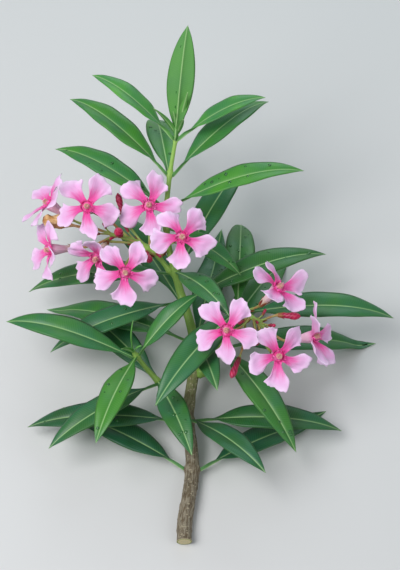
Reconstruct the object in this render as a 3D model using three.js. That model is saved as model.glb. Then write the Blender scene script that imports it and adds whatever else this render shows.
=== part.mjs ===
// A flowering spray of oleander, cut from the shrub and lying on a level surface.
// Millimetres, +Z up. The spray lies along +Y, with its cut end at the low Y end.
// Every solid is a stack of rings between two end points, laid on the grid of a LatheGeometry.
import * as THREE from "three";

// Driving dimensions
const BLOOM_WIDTH = 46; // across the petals of an open flower
const LEAF_LENGTH = 98; // a grown leaf with its stalk
const LEAF_WIDTH = 21; // across a grown leaf at its middle
const CUT_WIDTH = 10; // across the woody stem at the cut
const SHOOT_WIDTH = 6.4; // across a green flowering shoot at its foot

// Clearances
const GAP = 0.3; // between solids that meet
const LEAF_CLEARANCE = 3.3; // between the sample points of a leaf and those of its neighbours

// Leaf blade
const LEAF_THICKNESS = 1.0;
const LEAF_STALK = 0.06; // share of the length that is stalk
const LEAF_STALK_WIDTH = 2.2;
const LEAF_RINGS = 9;
const LEAF_STEPS = 36; // steps of the walk along a midrib
const LEAF_FOLD = 0.2; // how far the edges stand above the midrib, as a share of the half width
const LEAF_WIDEST = 0.92; // power on the length: 1 puts the widest place at the middle
const LEAF_FULLNESS = 0.85; // power on the width: smaller is blunter
const DROOP = 60; // degrees that a midrib bends down from its foot to its tip
const TURN_TO_LIGHT = 0.8; // how far a blade turns its upper face to the sky
const TURN_STRETCH = 0.3; // share of the length in which it turns

// Stems and stalks
const STEM_SIDES = 8;
const STEM_STEP = 9; // between the rings of a stem
const HEEL = 0.35; // a side shoot's width at its very foot, as a share of its own
const HEEL_STRETCH = 1 / 6; // share of its length in which it gets its own width
const LEVEL_RUN = 8; // how far a stem that goes on from another keeps its direction
const STALK_WIDTH = 1.7; // of a flower or a bud
const STALK_BEND = 0.4; // reach of a stalk's end directions, as a share of its span

// Buds: the width at a share of the length, as a share of the widest
const BUD_SIDES = 8;
const BUD_PROFILE = [
  { share: 0.18, width: 0.68 },
  { share: 0.45, width: 0.72 },
  { share: 0.72, width: 1.0 },
  { share: 0.9, width: 0.68 },
];

// Flower
const TUBE_LENGTH = 19; // from the foot of the calyx to the throat
const TUBE_WIDTH = 4.6;
const CALYX_HEIGHT = 3;
const CALYX_WIDTH = 4.2;
const THROAT_WIDTH = 9.5;
const THROAT_MOUTH = 0.86; // width of the open throat inside its wall, as a share
const THROAT_DEPTH = 8;
const PETAL_THICKNESS = 0.9;
const PETALS = 5;
const PETAL_MIDDLE = 0.55; // where a petal bends, as a share of its reach past the throat
const PETAL_CUP = 12; // how far the petals of most flowers stand up from flat, in degrees
const PETAL_CURL = 0.16; // how far the tips turn down, as a share of the petal's length
const FIRST_PETAL = -54; // degrees round from a flower's own cross direction
// One petal's outline: the angle from its middle, in degrees, and its reach as a share of the longest.
const PETAL_OUTLINE = [
  { angle: -36, reach: 0.34 },
  { angle: -23, reach: 0.84 },
  { angle: 0, reach: 1.0 },
  { angle: 23, reach: 0.93 },
];
const PETAL_LIFT = 0.1; // how far a petal's sides stand over and under it, as a share of its length
const PETAL_TWIST = 2.2; // the angle across a petal is stretched by this, so its edges lift fully
const BLOOM_SIDES = PETALS * PETAL_OUTLINE.length;

const UP = new THREE.Vector3(0, 0, 1);
const vector = ([x, y, z]) => new THREE.Vector3(x, y, z);
const radians = THREE.MathUtils.degToRad;
const smooth = (x) => THREE.MathUtils.smoothstep(x, 0, 1);

const finish = (color, roughness) =>
  new THREE.MeshStandardMaterial({ color, roughness, metalness: 0 });
const bark = finish(0x7d7159, 0.8);
const greenStem = finish(0x7f9a3c, 0.55);
const leafGreen = finish(0x2f6b35, 0.45);
const petalPink = finish(0xeaa3cb, 0.6);
const budRed = finish(0xb8203f, 0.5);

const spray = new THREE.Group();

// A closed mesh from rings of points. It stands on the vertex grid of a LatheGeometry, whose first
// and last profile points lie on the axis and become the two end points.
function addSolid(name, first, rings, last, material) {
  const sides = rings[0].length;
  const profile = [new THREE.Vector2(0, 0)];
  rings.forEach((_, row) => profile.push(new THREE.Vector2(1, row + 1)));
  profile.push(new THREE.Vector2(0, rings.length + 1));
  const geometry = new THREE.LatheGeometry(profile, sides);
  const place = geometry.getAttribute("position");
  const rows = profile.length;
  for (let column = 0; column <= sides; column += 1) {
    const points = [first, ...rings.map((corners) => corners[column % sides]), last];
    points.forEach((point, row) => place.setXYZ(column * rows + row, ...point.toArray()));
  }
  geometry.deleteAttribute("uv");
  geometry.computeVertexNormals();
  const mesh = new THREE.Mesh(geometry, material);
  mesh.name = name;
  spray.add(mesh);
  return mesh;
}

// Turns the diagonals in every other column of the grid. The upper and the under face of a blade
// then fold along the same lines, so they keep their distance where the blade twists.
function matchFaces({ geometry }, sides) {
  const index = geometry.getIndex();
  const rows = index.count / (6 * sides);
  for (let column = 1; column < sides; column += 2) {
    for (let row = 0; row < rows; row += 1) {
      const at = 6 * (column * rows + row);
      const [a, b, d, c] = [0, 1, 2, 3].map((k) => index.getX(at + k));
      [a, b, c, a, c, d].forEach((corner, k) => index.setX(at + k, corner));
    }
  }
  geometry.computeVertexNormals();
}

// A ring of points about a centre. The axis is the way that the stack of rings grows.
function ring(centre, axis, across, radius, sides) {
  const other = new THREE.Vector3().crossVectors(across, axis).normalize();
  return Array.from({ length: sides }, (_, k) => {
    const turn = (2 * Math.PI * k) / sides;
    return centre
      .clone()
      .addScaledVector(across, radius * Math.sin(turn))
      .addScaledVector(other, radius * Math.cos(turn));
  });
}

// Directions about a stem's own line: along it, level across it, and square to both.
function aboutLine(curve, share) {
  const along = curve.getTangentAt(share);
  const level = new THREE.Vector3().crossVectors(along, UP).normalize();
  const over = new THREE.Vector3().crossVectors(level, along);
  return { at: curve.getPointAt(share), along, level, over };
}

// Points that later leaves keep clear of.
const TAKE_STEP = 3; // between the rows of such points along a stem
const taken = [];
const take = (points) => taken.push(...points);

// A tapering stem along a curve. A side shoot starts in a narrow heel.
function addStem(name, { points, foot, tip, heel = 1, material = greenStem }) {
  const curve = new THREE.CatmullRomCurve3(points.map(vector));
  const radiusAt = (share) => {
    const narrowed = heel + (1 - heel) * smooth(share / HEEL_STRETCH);
    return (narrowed * THREE.MathUtils.lerp(foot, tip, share)) / 2;
  };
  const steps = Math.max(3, Math.round(curve.getLength() / STEM_STEP));
  const rings = Array.from({ length: steps + 1 }, (_, k) => {
    const { at, along, level } = aboutLine(curve, k / steps);
    return ring(at, along, level, radiusAt(k / steps), STEM_SIDES);
  });
  addSolid(name, curve.getPointAt(0), rings, curve.getPointAt(1), material);
  const fine = Math.round(curve.getLength() / TAKE_STEP);
  for (let k = 0; k <= fine; k += 1) {
    const { at, along, level } = aboutLine(curve, k / fine);
    take(ring(at, along, level, radiusAt(k / fine), STEM_SIDES));
  }
  return { curve, radiusAt };
}

// Stems, from the cut to the tips. A stem that goes on from another starts a gap past its end.
const FORK = [10, -82, 15];
const LEFT_NODE = [-4, -20, 48];
const RIGHT_NODE = [41, -48, 42];

// The first two points of a stem that goes on from the end of another.
function goOn({ curve }) {
  const way = curve.getTangentAt(1);
  return [GAP, LEVEL_RUN].map((far) => curve.getPointAt(1).addScaledVector(way, far).toArray());
}

// The points of a side shoot that leaves its parent at a share of it, a gap off its surface.
function sideRoute(parent, share, foot, route) {
  const { at, along } = aboutLine(parent.curve, share);
  const way = vector(route[0]).sub(at).normalize();
  const out = way.clone().addScaledVector(along, -way.dot(along)).normalize();
  const heel = (HEEL * foot) / 2;
  const seat = parent.radiusAt(share) + GAP + heel * Math.abs(way.dot(along));
  return [at.addScaledVector(out, seat).toArray(), ...route];
}

const mainStem = addStem("main_stem", {
  points: [[4, -200, 5], [4, -188, 5], [9, -150, 7], [6, -112, 10], FORK],
  foot: CUT_WIDTH,
  tip: 7.4,
  material: bark,
});
const leftShoot = addStem("shoot_left", {
  points: [...goOn(mainStem), [8, -54, 25], [1, -34, 35], LEFT_NODE],
  foot: 7.2,
  tip: 5,
});
const leader = addStem("shoot_leader", {
  points: [...goOn(leftShoot), [-9, 2, 68], [-7, 26, 84], [-2, 56, 96]],
  foot: 4.6,
  tip: 2.4,
});
const rightShoot = addStem("shoot_right", {
  points: sideRoute(mainStem, 0.985, SHOOT_WIDTH, [[24, -70, 21], [34, -58, 30], RIGHT_NODE]),
  foot: SHOOT_WIDTH,
  tip: 4.8,
  heel: HEEL,
});
const sideShoot = addStem("shoot_side", {
  points: sideRoute(mainStem, 0.8, 5, [[-8, -98, 18], [-20, -88, 25], [-30, -80, 37]]),
  foot: 5,
  tip: 2.6,
  heel: HEEL,
});
const leftPeduncle = addStem("peduncle_left", {
  points: sideRoute(leftShoot, 0.98, 3.4, [[-17, -14, 57], [-30, -8, 62], [-46, -4, 64]]),
  foot: 3.4,
  tip: 2.2,
  heel: HEEL,
});
const rightPeduncle = addStem("peduncle_right", {
  points: sideRoute(rightShoot, 0.98, 3.2, [[44, -57, 49], [49, -63, 53], [56, -70, 54]]),
  foot: 3.2,
  tip: 2.2,
  heel: HEEL,
});

// The stalk of a flower or a bud: from the side of its peduncle to the foot of its calyx.
function stalkCurve(peduncle, share, foot, facing) {
  const { at, along } = aboutLine(peduncle.curve, share);
  const out = foot.clone().sub(at);
  out.addScaledVector(along, -out.dot(along)).normalize();
  const leave = out.clone().add(along).normalize();
  const seat = peduncle.radiusAt(share) + GAP + (STALK_WIDTH / 2) * leave.dot(along);
  const start = at.clone().addScaledVector(out, seat);
  const reach = start.distanceTo(foot) * STALK_BEND;
  return new THREE.CubicBezierCurve3(
    start,
    start.clone().addScaledVector(leave, reach),
    foot.clone().addScaledVector(facing, -reach),
    foot,
  );
}

// A direction from a heading in degrees, anticlockwise from +X, and a rise above level.
function direction(heading, rise) {
  const level = Math.cos(radians(rise));
  return new THREE.Vector3(
    level * Math.cos(radians(heading)),
    level * Math.sin(radians(heading)),
    Math.sin(radians(rise)),
  );
}

// The two lowest rings of a flower's or a bud's stalk.
function stalkRings(curve, across, sides) {
  return [0, 0.5].map((share) => {
    const along = curve.getTangent(share);
    const side = across.clone().addScaledVector(along, -across.dot(along)).normalize();
    return ring(curve.getPoint(share), along, side, STALK_WIDTH / 2, sides);
  });
}

// An open flower. Its petals are five lobes of one trumpet, each turned a little like a blade of a
// pinwheel. cup is how far the petals stand up from flat, in degrees.
function addBloom(name, peduncle, flower) {
  const { share, throat, heading, rise, turn, cup = PETAL_CUP, size = 1 } = flower;
  const facing = direction(heading, rise);
  const centre = vector(throat);
  const foot = centre.clone().addScaledVector(facing, -TUBE_LENGTH);
  const curve = stalkCurve(peduncle, share, foot, facing);
  const across = new THREE.Vector3().crossVectors(facing, UP).normalize();
  across.applyAxisAngle(facing, radians(turn));
  const round = (height, width) =>
    ring(centre.clone().addScaledVector(facing, height), facing, across, width / 2, BLOOM_SIDES);
  const longest = (size * BLOOM_WIDTH) / 2;
  const inner = THROAT_WIDTH / 2;
  // Height over the throat, at a distance from the axis and an angle from the petal's middle: a
  // shallow cone that turns down at its tips, with one side of each petal up and the other down.
  const petalHeight = (distance, angle) => {
    const out = (distance - inner) / (longest - inner);
    const cone = (distance - inner) * Math.tan(radians(cup));
    const blade = PETAL_LIFT * longest * out * Math.sin(radians(angle * PETAL_TWIST));
    return cone - PETAL_CURL * longest * out * out + blade;
  };
  const lobes = (reached, drop) =>
    Array.from({ length: BLOOM_SIDES }, (_, k) => {
      const { angle, reach } = PETAL_OUTLINE[k % PETAL_OUTLINE.length];
      const middle = 360 * (Math.floor(k / PETAL_OUTLINE.length) / PETALS) + FIRST_PETAL;
      const distance = inner + (longest * reach - inner) * reached;
      const out = across.clone().applyAxisAngle(facing, radians(middle + angle));
      return centre
        .clone()
        .addScaledVector(out, distance)
        .addScaledVector(facing, petalHeight(distance, angle) - drop);
    });
  const rings = [
    ...stalkRings(curve, across, BLOOM_SIDES),
    round(-TUBE_LENGTH, STALK_WIDTH),
    round(CALYX_HEIGHT - TUBE_LENGTH, CALYX_WIDTH),
    round(-TUBE_LENGTH / 2, TUBE_WIDTH),
    round(-PETAL_THICKNESS * 1.5, THROAT_WIDTH),
    lobes(PETAL_MIDDLE, PETAL_THICKNESS),
    lobes(1, PETAL_THICKNESS / 2),
    lobes(PETAL_MIDDLE, 0),
    round(0, THROAT_WIDTH * THROAT_MOUTH),
  ];
  const pit = centre.clone().addScaledVector(facing, -THROAT_DEPTH);
  take([...rings[3], ...rings[4]]);
  [0.2, 0.4, 0.6, 0.8, 1].forEach((reached) => {
    const row = lobes(reached, 0);
    take(row);
    take(row.map((point, k) => point.clone().lerp(row[(k + 1) % BLOOM_SIDES], 0.5)));
  });
  return addSolid(name, curve.getPoint(0), rings, pit, petalPink);
}

// A closed bud on its stalk, a pointed spindle.
function addBud(name, peduncle, { share, tip, heading, rise, length, width }) {
  const facing = direction(heading, rise);
  const end = vector(tip);
  const foot = end.clone().addScaledVector(facing, -length);
  const curve = stalkCurve(peduncle, share, foot, facing);
  const across = new THREE.Vector3().crossVectors(facing, UP).normalize();
  const round = (height, wide) =>
    ring(foot.clone().addScaledVector(facing, height), facing, across, wide / 2, BUD_SIDES);
  const body = [
    round(0, STALK_WIDTH),
    ...BUD_PROFILE.map((part) => round(part.share * length, part.width * width)),
  ];
  take(body.flat());
  const rings = [...stalkRings(curve, across, BUD_SIDES), ...body];
  return addSolid(name, curve.getPoint(0), rings, end, budRed);
}

// The flowers and buds of the two clusters. share is the place on the peduncle, heading and rise
// are where a flower looks, and turn is its own turn about that.
const LEFT_BLOOMS = [
  { share: 0.45, throat: [-20, 6, 84], heading: 265, rise: 64, turn: 10 },
  { share: 0.25, throat: [2, -23, 89], heading: 295, rise: 62, turn: 40 },
  { share: 0.8, throat: [-61, 2, 88], heading: 262, rise: 64, turn: 5 },
  { share: 1.0, throat: [-89, 16, 72], heading: 160, rise: 34, turn: 20, cup: 24 },
  { share: 1.0, throat: [-87, -15, 62], heading: 200, rise: 22, turn: 50, cup: 26 },
  { share: 0.7, throat: [-55, -24, 66], heading: 250, rise: 20, turn: 30, cup: 32, size: 0.88 },
  { share: 0.5, throat: [-35, -42, 76], heading: 278, rise: 50, turn: 60 },
];
const RIGHT_BLOOMS = [
  { share: 0.6, throat: [31, -84, 73], heading: 250, rise: 60, turn: 15 },
  { share: 0.3, throat: [65, -52, 73], heading: 20, rise: 52, turn: 0 },
  { share: 0.9, throat: [64, -100, 68], heading: 285, rise: 55, turn: 50 },
  { share: 1.0, throat: [88, -80, 58], heading: 355, rise: 26, turn: 30, cup: 26 },
];
LEFT_BLOOMS.forEach((bloom, k) => addBloom(`bloom_left_${k + 1}`, leftPeduncle, bloom));
RIGHT_BLOOMS.forEach((bloom, k) => addBloom(`bloom_right_${k + 1}`, rightPeduncle, bloom));

const LEFT_BUDS = [
  { share: 0.6, tip: [-40, -16, 86], heading: 265, rise: 66, length: 17, width: 6 },
  { share: 0.32, tip: [-19, -30, 70], heading: 285, rise: 25, length: 13, width: 4.6 },
  { share: 0.6, tip: [-42, 22, 76], heading: 105, rise: 30, length: 16, width: 4.6 },
];
const RIGHT_BUDS = [
  { share: 0.85, tip: [80, -66, 60], heading: 350, rise: 10, length: 15, width: 5 },
  { share: 0.42, tip: [34, -107, 51], heading: 250, rise: 0, length: 16, width: 4.6 },
  { share: 0.75, tip: [50, -90, 66], heading: 265, rise: 40, length: 13, width: 4.6 },
];
LEFT_BUDS.forEach((bud, k) => addBud(`bud_left_${k + 1}`, leftPeduncle, bud));
RIGHT_BUDS.forEach((bud, k) => addBud(`bud_right_${k + 1}`, rightPeduncle, bud));

// Half the width of a leaf at a share of its length: a thin stalk, then a lance shape.
function leafHalfWidth(share, width) {
  const blade = Math.max(0, (share - LEAF_STALK) / (1 - LEAF_STALK));
  const lance = Math.sin(Math.PI * blade ** LEAF_WIDEST) ** LEAF_FULLNESS;
  return Math.max((LEAF_STALK_WIDTH / 2) * (1 - blade), (width / 2) * lance);
}

// The way a midrib runs: out from the stem, drooping more and more, and along the surface where it
// reaches it. Returns the line with, at each step, the way along and the way that the face looks.
// The face looks along the stem at first, and turns to the sky unless it would turn right over.
function leafLine(stem, share, heading, rise, length) {
  const { at, along } = aboutLine(stem.curve, share);
  const way = direction(heading, rise);
  const out = way.clone().addScaledVector(along, -way.dot(along)).normalize();
  const seat = stem.radiusAt(share) + GAP + (LEAF_THICKNESS / 2) * Math.abs(way.dot(along));
  const point = at.clone().addScaledVector(out, seat);
  const face = along.clone().addScaledVector(way, -along.dot(way)).normalize();
  const sky = () => UP.clone().addScaledVector(way, -way.z);
  const willing = THREE.MathUtils.clamp(1 + face.dot(sky().normalize()), 0, 1);
  const step = length / LEAF_STEPS;
  const lowest = LEAF_THICKNESS / 2;
  const line = [];
  for (let k = 0; k <= LEAF_STEPS; k += 1) {
    const done = k / LEAF_STEPS;
    face.addScaledVector(way, -face.dot(way)).normalize();
    const light = sky();
    const turned = TURN_TO_LIGHT * willing * smooth(done / TURN_STRETCH) * light.length();
    const looks = face.clone().multiplyScalar(1 - turned).addScaledVector(light, turned);
    line.push({ point: point.clone(), way: way.clone(), face: looks.normalize() });
    way.z -= (radians(DROOP) * 2 * done) / LEAF_STEPS;
    way.normalize();
    if (point.z + way.z * step < lowest) {
      way.z = (lowest - point.z) / step;
      way.normalize();
    }
    point.addScaledVector(way, step);
  }
  return line;
}

// A point across a leaf at one step of its line. The two edges stand above the midrib, and no
// point goes under the surface that the spray lies on.
function leafPoint({ point, way, face }, half, side, thickness) {
  const across = new THREE.Vector3().crossVectors(way, face).normalize();
  const made = point
    .clone()
    .addScaledVector(across, side * half)
    .addScaledVector(face, Math.abs(side) * half * LEAF_FOLD + thickness);
  made.z = Math.max(made.z, side ? LEAF_THICKNESS / 2 : LEAF_THICKNESS / 2 + thickness);
  return made;
}

// Points all over a leaf past its stalk, for finding out whether it is clear.
const SAMPLE_EVERY = 2; // steps of the line between rows of samples
const SAMPLE_SIDES = [-1, -0.67, -0.33, 0, 0.33, 0.67, 1];
const SAMPLE_FROM = 0.1; // share of the length that is left out, where the stalk meets its stem
function leafSamples(line, width) {
  const rows = line.filter(
    (_, k) => k % SAMPLE_EVERY === 0 && k >= SAMPLE_FROM * LEAF_STEPS,
  );
  const first = LEAF_STEPS + SAMPLE_EVERY - SAMPLE_EVERY * rows.length;
  return rows.flatMap((row, k) => {
    const half = leafHalfWidth((first + SAMPLE_EVERY * k) / LEAF_STEPS, width);
    return SAMPLE_SIDES.map((side) => leafPoint(row, half, side, 0));
  });
}

const isClear = (samples) =>
  samples.every((p) => taken.every((q) => p.distanceToSquared(q) > LEAF_CLEARANCE ** 2));

// Small turns of a leaf to the side and up or down, the smallest first.
const SHIFT_STEP = 5; // degrees
const SHIFTS = [];
for (let a = -6; a <= 6; a += 1) {
  for (let b = -5; b <= 5; b += 1) SHIFTS.push({ side: SHIFT_STEP * a, up: SHIFT_STEP * b });
}
SHIFTS.sort((p, q) => Math.hypot(p.side, p.up) - Math.hypot(q.side, q.up));

// A leaf takes the first of these turns that keeps it clear of what is there already.
function addLeaf(name, stem, { share, heading, rise, length, width }) {
  for (const { side, up } of SHIFTS) {
    const line = leafLine(stem, share, heading + side, rise + up, length);
    const samples = leafSamples(line, width);
    if (!isClear(samples)) continue;
    take(samples);
    const rings = Array.from({ length: LEAF_RINGS }, (_, k) => {
      const at = line[Math.round((k * LEAF_STEPS) / LEAF_RINGS)];
      const half = leafHalfWidth(k / LEAF_RINGS, width);
      const thick = LEAF_THICKNESS / 2;
      return [
        leafPoint(at, half, 0, thick),
        leafPoint(at, half, 1, 0),
        leafPoint(at, half, 0, -thick),
        leafPoint(at, half, -1, 0),
      ];
    });
    const leaf = addSolid(name, line[0].point, rings, line[LEAF_STEPS].point, leafGreen);
    return matchFaces(leaf, rings[0].length);
  }
  throw new Error(`${name} finds no clear place`);
}

// Leaves stand in whorls of two or three. Each leaf is told by its heading, its rise and its length
// as a share of a grown leaf.
const WHORLS = [
  { name: "main_low", stem: mainStem, share: 0.42, leaves: [[150, 8, 1.0], [28, 5, 1.0]] },
  {
    name: "main_high",
    stem: mainStem,
    share: 0.7,
    leaves: [[182, 18, 1.1], [-4, 18, 1.05], [312, 40, 0.8]],
  },
  {
    name: "side_low",
    stem: sideShoot,
    share: 0.45,
    leaves: [[215, 20, 0.9], [130, 2, 1.0], [290, 35, 0.75]],
  },
  {
    name: "side_tip",
    stem: sideShoot,
    share: 0.94,
    leaves: [[252, 30, 0.8], [165, 24, 0.95], [40, 40, 0.6]],
  },
  {
    name: "left_low",
    stem: leftShoot,
    share: 0.3,
    leaves: [[160, -4, 1.15], [80, -5, 1.1], [285, 50, 0.7]],
  },
  {
    name: "left_high",
    stem: leftShoot,
    share: 0.68,
    leaves: [[215, 25, 1.0], [120, 5, 1.1], [20, 20, 1.1]],
  },
  {
    name: "left_node",
    stem: leftShoot,
    share: 0.96,
    leaves: [[184, 8, 1.1], [305, 45, 0.7], [62, 20, 1.05]],
  },
  {
    name: "right_low",
    stem: rightShoot,
    share: 0.45,
    leaves: [[300, 22, 1.0], [8, 2, 1.15], [60, 0, 1.1]],
  },
  {
    name: "right_node",
    stem: rightShoot,
    share: 0.95,
    leaves: [[102, 20, 1.0], [345, 25, 1.1], [235, 15, 1.0]],
  },
  { name: "leader_foot", stem: leader, share: 0.3, leaves: [[328, 6, 0.62]] },
  { name: "leader_low", stem: leader, share: 0.46, leaves: [[158, 40, 0.95], [10, 30, 1.0]] },
  {
    name: "leader_mid",
    stem: leader,
    share: 0.7,
    leaves: [[140, 25, 0.95], [42, 22, 0.95], [98, -10, 0.95]],
  },
  {
    name: "leader_tip",
    stem: leader,
    share: 0.97,
    leaves: [[146, 36, 0.75], [82, 52, 0.8], [20, 34, 0.7]],
  },
];
WHORLS.forEach(({ name, stem, share, leaves }) => {
  leaves.forEach(([heading, rise, size], k) => {
    addLeaf(`leaf_${name}_${k + 1}`, stem, {
      share,
      heading,
      rise,
      length: LEAF_LENGTH * size,
      width: LEAF_WIDTH * Math.sqrt(size),
    });
  });
});

// The origin is the middle of the spray's own box, on the surface that it lies on.
const box = new THREE.Box3().setFromObject(spray);
const middle = box.getCenter(new THREE.Vector3());
spray.position.set(-middle.x, -middle.y, -box.min.z);

export default spray;
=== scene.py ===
# %% [markdown]
# # A flowering oleander spray
# This is a spray cut from an oleander and laid on a level table: a woody stem, green shoots, leaves in
# whorls, and two clusters of pink flowers with their buds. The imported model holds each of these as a
# plain closed solid at its real size. Every finer surface below is worked out from the rings of points
# of the solid that it stands for, so it stays where that solid is.

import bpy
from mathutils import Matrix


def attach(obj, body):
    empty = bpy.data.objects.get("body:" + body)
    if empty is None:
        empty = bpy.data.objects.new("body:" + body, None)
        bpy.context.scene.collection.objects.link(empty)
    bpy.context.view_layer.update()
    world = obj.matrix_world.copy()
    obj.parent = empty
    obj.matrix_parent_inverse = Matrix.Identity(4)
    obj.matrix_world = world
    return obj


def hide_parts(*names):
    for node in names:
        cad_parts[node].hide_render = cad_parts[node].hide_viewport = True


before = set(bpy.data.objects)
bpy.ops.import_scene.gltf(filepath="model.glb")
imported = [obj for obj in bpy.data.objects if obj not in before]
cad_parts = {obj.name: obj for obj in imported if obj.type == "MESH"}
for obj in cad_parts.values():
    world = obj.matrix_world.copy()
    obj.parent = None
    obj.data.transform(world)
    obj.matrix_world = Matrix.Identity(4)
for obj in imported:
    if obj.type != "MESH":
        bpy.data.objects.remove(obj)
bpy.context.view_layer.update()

# %% Modules and units
import math

import bpy
import numpy as np
from mathutils import Vector

MM = 0.001  # the scene is in metres, and a plant is easier to think of in millimetres
rng = np.random.default_rng(7)


def in_scene(name, data):
    """Puts a new object with this data into the scene."""
    made = bpy.data.objects.new(name, data)
    bpy.context.scene.collection.objects.link(made)
    return made


def named(start):
    """The solids whose names start so, in order."""
    return sorted(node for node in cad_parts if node.startswith(start))

# %% [markdown]
# ## The camera
# The photograph looks down on the spray at a slant, from not far away. A camera is a place, a direction
# and a lens. The direction is fixed here, and the place follows from it: the camera goes back along its
# own axis until every point of the spray falls inside the picture. That could also be found by trial,
# but the sum below stays right when the spray changes.

# %% Camera
PICTURE = (400, 570)
LENS = 85  # millimetres, on a sensor whose long side is 36
ELEVATION = math.radians(58)
FILL = 0.97  # share of the picture's half width or height that the spray may reach
TRIES = 20

towards = np.array([0, math.cos(ELEVATION), -math.sin(ELEVATION)])
sideways = np.array([1.0, 0, 0])
upwards = np.cross(sideways, towards)
solids = np.concatenate([[v.co for v in node.data.vertices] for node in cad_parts.values()])
half_height = 18 / LENS
half_width = half_height * PICTURE[0] / PICTURE[1]

target = solids.mean(0)
for _ in range(TRIES):
    off = solids - target
    across, up, near = off @ sideways, off @ upwards, -off @ towards
    reach = near + np.maximum(abs(across) / half_width, abs(up) / half_height) / FILL
    distance = reach.max()
    seen = np.stack([across, up]) / (distance - near)
    centre = (seen.min(1) + seen.max(1)) / 2 * distance
    target = target + centre[0] * sideways + centre[1] * upwards

camera = in_scene("camera", bpy.data.cameras.new("camera"))
camera.data.lens = LENS
camera.location = target - distance * towards
camera.rotation_euler = (math.pi / 2 - ELEVATION, 0, 0)
bpy.context.scene.camera = camera
print(f"camera {distance:.2f} m from the spray")

# %% [markdown]
# ## Floor and light
# A plain pale floor and soft light let the plant's own colours show. Soft light comes from large lamps.
# The main one stands high on the left, where the photograph's sky is brightest, a weaker one fills the
# shadows from the right, and a low one behind gives the leaves their sheen. Blender's usual view of a
# scene greys strong colours as film does. The plain view is chosen, so a finish looks as it was mixed.

# %% Floor
bpy.context.scene.view_settings.view_transform = "Standard"

FLOOR_HALF = 3.0
FLOOR_GREY = 0.64

floor_mesh = bpy.data.meshes.new("floor")
corners = [(x * FLOOR_HALF, y * FLOOR_HALF, 0) for x, y in ((-1, -1), (1, -1), (1, 1), (-1, 1))]
floor_mesh.from_pydata(corners, [], [(0, 1, 2, 3)])
floor = in_scene("floor", floor_mesh)

# %% Lamps and sky
LAMPS = {  # place in metres, size in metres, watts and colour
    "main": ((-0.55, -0.25, 0.95), 0.7, 10.4, (1.0, 1.0, 1.0)),
    "fill": ((0.8, -0.5, 0.6), 0.9, 2.6, (1.0, 1.0, 1.0)),
    "sheen": ((0.2, 1.0, 0.6), 0.8, 4.2, (0.8, 0.97, 1.0)),
}
for name, (place, size, watts, colour) in LAMPS.items():
    lamp = in_scene(name, bpy.data.lights.new(name, "AREA"))
    lamp.data.size = size
    lamp.data.energy = watts
    lamp.data.color = colour
    lamp.location = place
    lamp.rotation_euler = (-Vector(place)).to_track_quat("-Z", "Y").to_euler()

SKY_COLOUR = (0.86, 0.93, 1.0)
SKY_STRENGTH = 0.26
world = bpy.data.worlds.new("sky")
world.use_nodes = True
sky = world.node_tree.nodes["Background"].inputs
sky["Color"].default_value = (*SKY_COLOUR, 1)
sky["Strength"].default_value = SKY_STRENGTH
bpy.context.scene.world = world

# %% [markdown]
# ## Materials as sums
# A leaf's green changes from the midrib to the margin, and a petal's pink from the throat to the tip.
# Such patterns are sums and products of a few coordinates, each of which is a node. Joining nodes by
# hand hides the sum, so a small class wraps a node's output and adds a Math node for each operator. A
# finish is then a first colour and a list of layers, each a share that such a sum gives and a colour.

# %% Outputs that can be added and multiplied
def operator(operation, turned=False):
    """A method that adds a Math node for a wire and what else it gets, in turned order if asked."""

    def method(self, *others):
        values = (self, *others)
        return self.finish.math(operation, *(values[::-1] if turned else values))

    return method


class Wire:
    """The output of a node. An operator between wires or numbers adds a Math node."""

    def __init__(self, finish, socket):
        self.finish = finish
        self.socket = socket

    __add__ = __radd__ = operator("ADD")
    __sub__ = operator("SUBTRACT")
    __rsub__ = operator("SUBTRACT", turned=True)
    __mul__ = __rmul__ = operator("MULTIPLY")
    __truediv__ = operator("DIVIDE")
    __pow__ = operator("POWER")
    __abs__ = operator("ABSOLUTE")

    def rise(self, low, high):
        """0 under low and 1 over high, with a smooth step between. low may be above high."""
        inputs = {"Value": self, "From Min": low, "From Max": high}
        return self.finish.add("ShaderNodeMapRange", {"interpolation_type": "SMOOTHSTEP"}, inputs)


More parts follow.
